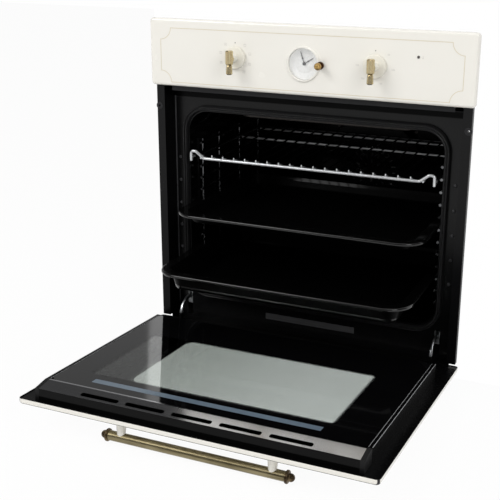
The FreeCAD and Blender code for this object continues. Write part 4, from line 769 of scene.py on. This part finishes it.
def hinge_hooks():
    """Bowed steel straps from the hinge pins up and back into the housing."""
    thick, wide, soft = 0.005, 0.0074, 0.0012
    pin_y, pin_z = PIVOT.y, PIVOT.z
    bend = 0.031
    turn_y, turn_z = pin_y + bend, 0.014
    bm = bmesh.new()
    section = Matrix.Translation((0, pin_y, pin_z)) @ Matrix.Diagonal((thick, wide, 1.0, 1.0))
    round_field(bm, section, soft, 3)
    bmesh.ops.delete(bm, geom=bm.faces[:], context="FACES_ONLY")
    upright = drawn_out(bm, bm.edges[:], (0, 0, turn_z - pin_z))
    bent = bmesh.ops.spin(bm, geom=upright, cent=(0, turn_y, turn_z), axis=(1, 0, 0), angle=-math.pi / 2,
                          steps=12)["geom_last"]
    drawn_out(bm, [g for g in bent if isinstance(g, bmesh.types.BMEdge)], (0, ARM_END - turn_y, 0))
    bmesh.ops.holes_fill(bm, edges=[e for e in bm.edges if e.is_boundary])
    bmesh.ops.create_cone(bm, cap_ends=True, segments=24, radius1=0.0037, radius2=0.0037, depth=thick,
                          matrix=Matrix.Translation((0, pin_y, pin_z)) @ Matrix.Rotation(math.pi / 2, 4, "Y"))
    bmesh.ops.translate(bm, vec=(HINGE_X, 0, 0), verts=bm.verts)
    bmesh.ops.mirror(bm, geom=bm.verts[:] + bm.edges[:] + bm.faces[:], axis="X", merge_dist=-1.0)
    bmesh.ops.recalc_face_normals(bm, faces=bm.faces)
    piece = finished("hinge_hooks", bm, hook_steel, "housing")
    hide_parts("hinge_arms")


def column_feet():
    """Blunt plugs that close the columns' lower ends."""
    bm = bmesh.new()
    size = Matrix.Diagonal((0.0132, 0.0260, 0.0030, 1.0))
    for x in (-0.2853, 0.2853):
        bmesh.ops.create_cube(bm, size=1.0, matrix=Matrix.Translation((x, 0.0105, 0.0127)) @ size)
    bmesh.ops.bevel(bm, geom=bm.edges[:], offset=0.0008, offset_type="OFFSET", segments=2, profile=0.5,
                    affect="EDGES", material=-1)
    finished("column_feet", bm, column_enamel, "housing")


def gasket_lips():
    """Door gasket with two soft lips, set round the mouth of the oven."""
    outer = Matrix.Diagonal((2 * GASKET_X, 2 * GASKET_TALL, 1.0, 1.0))
    bm = bmesh.new()
    round_field(bm, Matrix.Translation((0, PLATE_FACE, GASKET_Z)) @ FACE_FRONT @ outer, 0.049, 16)
    field = bm.faces[:]
    outer_lip = ((0.4, 8.0), (0.8, 2.2), (0.9, 0.8), (0.9, -0.8), (0.6, -2.8))
    inner_lip = ((0.6, 2.8), (0.9, 0.8), (0.9, -0.8), (0.8, -2.2), (0.4, -8.0))
    for inward, rise in outer_lip + ((1.3, 0.0),) + inner_lip:
        bmesh.ops.inset_individual(bm, faces=field, thickness=inward / 1000, depth=rise / 1000,
                                   use_even_offset=True)
    bmesh.ops.delete(bm, geom=field, context="FACES_ONLY")
    bmesh.ops.bridge_loops(bm, edges=[e for e in bm.edges if e.is_boundary])
    bmesh.ops.recalc_face_normals(bm, faces=bm.faces)
    piece = finished("gasket_lips", bm, gasket_rubber, "housing")
    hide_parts("door_gasket")


def rail_edges():
    """Rolled edges along the door's side rails, beside the inner pane."""
    bm = bmesh.new()
    for x in (-0.2716, -0.2657, 0.2657, 0.2716):
        low = Vector((x, PANE_FACE - 0.0002, 0.068 + DOOR_FOOT))
        rod(bm, low, low + Vector((0.0, 0.0, 0.357)), 0.0005)
    lay_open(bm)
    finished("rail_edges", bm, zinc_plate, "door")


def rounded_slip(width, height, radius, thick):
    """A thin slip with round corners, standing in X and Z about the origin, its back at Y 0."""
    bm = bmesh.new()
    round_field(bm, FACE_FRONT @ Matrix.Diagonal((width, height, 1.0, 1.0)), radius, 5)
    raise_faces(bm, thick)
    return bm


def pane_strip():
    """Bare printed strip along the top of the inner pane."""
    bm = rounded_slip(0.388, 0.014, 0.001, 0.00012)
    bmesh.ops.translate(bm, vec=(-0.006, PANE_FACE + 0.00013, 0.402 + DOOR_FOOT), verts=bm.verts)
    lay_open(bm)
    finished("pane_strip", bm, strip_print, "door")


def bare_plate():
    """Bare foil plate low on the front plate."""
    bm = rounded_slip(0.179, 0.012, 0.0008, 0.0003)
    bmesh.ops.translate(bm, vec=(0.0035, PLATE_FACE, 0.028), verts=bm.verts)
    finished("bare_plate", bm, plate_foil, "housing")


panel_border()
panel_symbols()
zero_ticks()
dial_marks()
handle_ends()
shelf_wire_ends()
plate_ribs()
hinge_hooks()
column_feet()
gasket_lips()
rail_edges()
pane_strip()
bare_plate()


# Floor, backdrop, light and camera

def staged(name, bm, coat):
    mesh = bpy.data.meshes.new(name)
    bm.to_mesh(mesh)
    bm.free()
    mesh.materials.append(coat)
    set_piece = bpy.data.objects.new(name, mesh)
    bpy.context.scene.collection.objects.link(set_piece)
    return set_piece


def seen_rays(s):
    """1 for rays from the camera, or from a mirror or pane that shows the background."""
    camera = s.node("LightPath", out="Is Camera Ray")
    kinds = camera.output.node.outputs
    mirror = Socket(s.tree, kinds["Is Glossy Ray"])
    return camera.at_least(mirror).at_least(Socket(s.tree, kinds["Is Transmission Ray"]))


@finish
def floor_white(s):
    tone = s.mix(s.noise(1.2), ink(244, 244, 243), ink(250, 250, 249))
    lit = s.node("BsdfDiffuse", None, {"Color": tone})
    white = s.node("Emission", None, {"Color": (1, 1, 1, 1), "Strength": 1.0})
    return s.node("MixShader", None, {0: 0.95 * seen_rays(s), 1: lit, 2: white})


@finish
def board_white(s):
    back = s.node("NewGeometry", out="Backfacing")
    white = s.node("Emission", None, {"Color": (1, 1, 1, 1), "Strength": 1.0})
    through = s.node("BsdfTransparent")
    return s.node("MixShader", None, {0: back, 1: white, 2: through})


floor = bmesh.new()
bmesh.ops.create_grid(floor, x_segments=1, y_segments=1, size=6.0, matrix=Matrix.Translation((0, 0, -0.0205)))
staged("floor", floor, floor_white)

# The photograph ends at the oven's front, so a white board stands right of it and above, near its face.
board = bmesh.new()
for left, right, low, high in ((0.2788, 0.372, -0.020, 0.5722), (-0.300, 0.372, 0.5722, 0.630)):
    shape = Matrix.Diagonal((right - left, high - low, 1.0, 1.0))
    centre = Matrix.Translation(((left + right) / 2, 0.0005, (low + high) / 2))
    bmesh.ops.create_grid(board, x_segments=1, y_segments=1, size=0.5,
                          matrix=centre @ FACE_FRONT @ shape)
edge = staged("cabinet_edge", board, board_white)
edge.visible_shadow = False
edge.visible_diffuse = False

world = bpy.data.worlds.new("studio")
world.use_nodes = True
world.node_tree.nodes.clear()
bpy.context.scene.world = world
air = Socket(world.node_tree)
away = air.node("TexCoord", out="Generated").split()
ahead = (away[1] - 0.5 * away[0]).ramp(-0.25, 0.15, 0.10, 1.0)
near = away[0].math("ARCTAN2", away[0], away[1]).ramp(-0.511, -0.503)
behind = ahead.at_most(near.at_least(away[2].ramp(0.35, 0.55, 0.36, 0.09)))
camera_ray = air.node("LightPath", out="Is Camera Ray")
rays = camera_ray.output.node.outputs
mirrored = Socket(air.tree, rays["Is Glossy Ray"]).at_least(Socket(air.tree, rays["Is Transmission Ray"]))
ambient = 0.40
level = camera_ray.at_least(mirrored * behind).at_least((1 - camera_ray.at_least(mirrored)) * ambient)
sky = air.node("Background", None, {"Color": (1, 1, 1, 1), "Strength": level})
air.node("OutputWorld", None, {"Surface": sky})


def softbox(name, at, towards, wide, high, power):
    lamp = bpy.data.lights.new(name, "AREA")
    lamp.shape = "RECTANGLE"
    lamp.size = wide
    lamp.size_y = high
    lamp.energy = power
    hung = bpy.data.objects.new(name, lamp)
    hung.location = at
    hung.rotation_euler = (Vector(towards) - Vector(at)).to_track_quat("-Z", "Y").to_euler()
    bpy.context.scene.collection.objects.link(hung)


softbox("key_left", (-1.5, -1.9, 2.1), (0, -0.1, 0.35), 1.4, 1.4, 34)
softbox("fill_right", (1.9, -1.5, 1.6), (0, -0.1, 0.3), 1.0, 1.4, 18)
softbox("top_soft", (0.1, -0.7, 2.6), (0, -0.3, 0.2), 1.6, 1.0, 8)

lens = bpy.data.cameras.new("photo_camera")
lens.lens = 72.39
lens.sensor_width = 36.0
camera = bpy.data.objects.new("photo_camera", lens)
camera.location = (0.6241, -1.6312, 0.7696)
camera.rotation_euler = Vector((-0.3884, 0.8642, -0.3200)).to_track_quat("-Z", "Y").to_euler()
bpy.context.scene.collection.objects.link(camera)
bpy.context.scene.camera = camera
bpy.context.scene.view_settings.view_transform = "Standard"
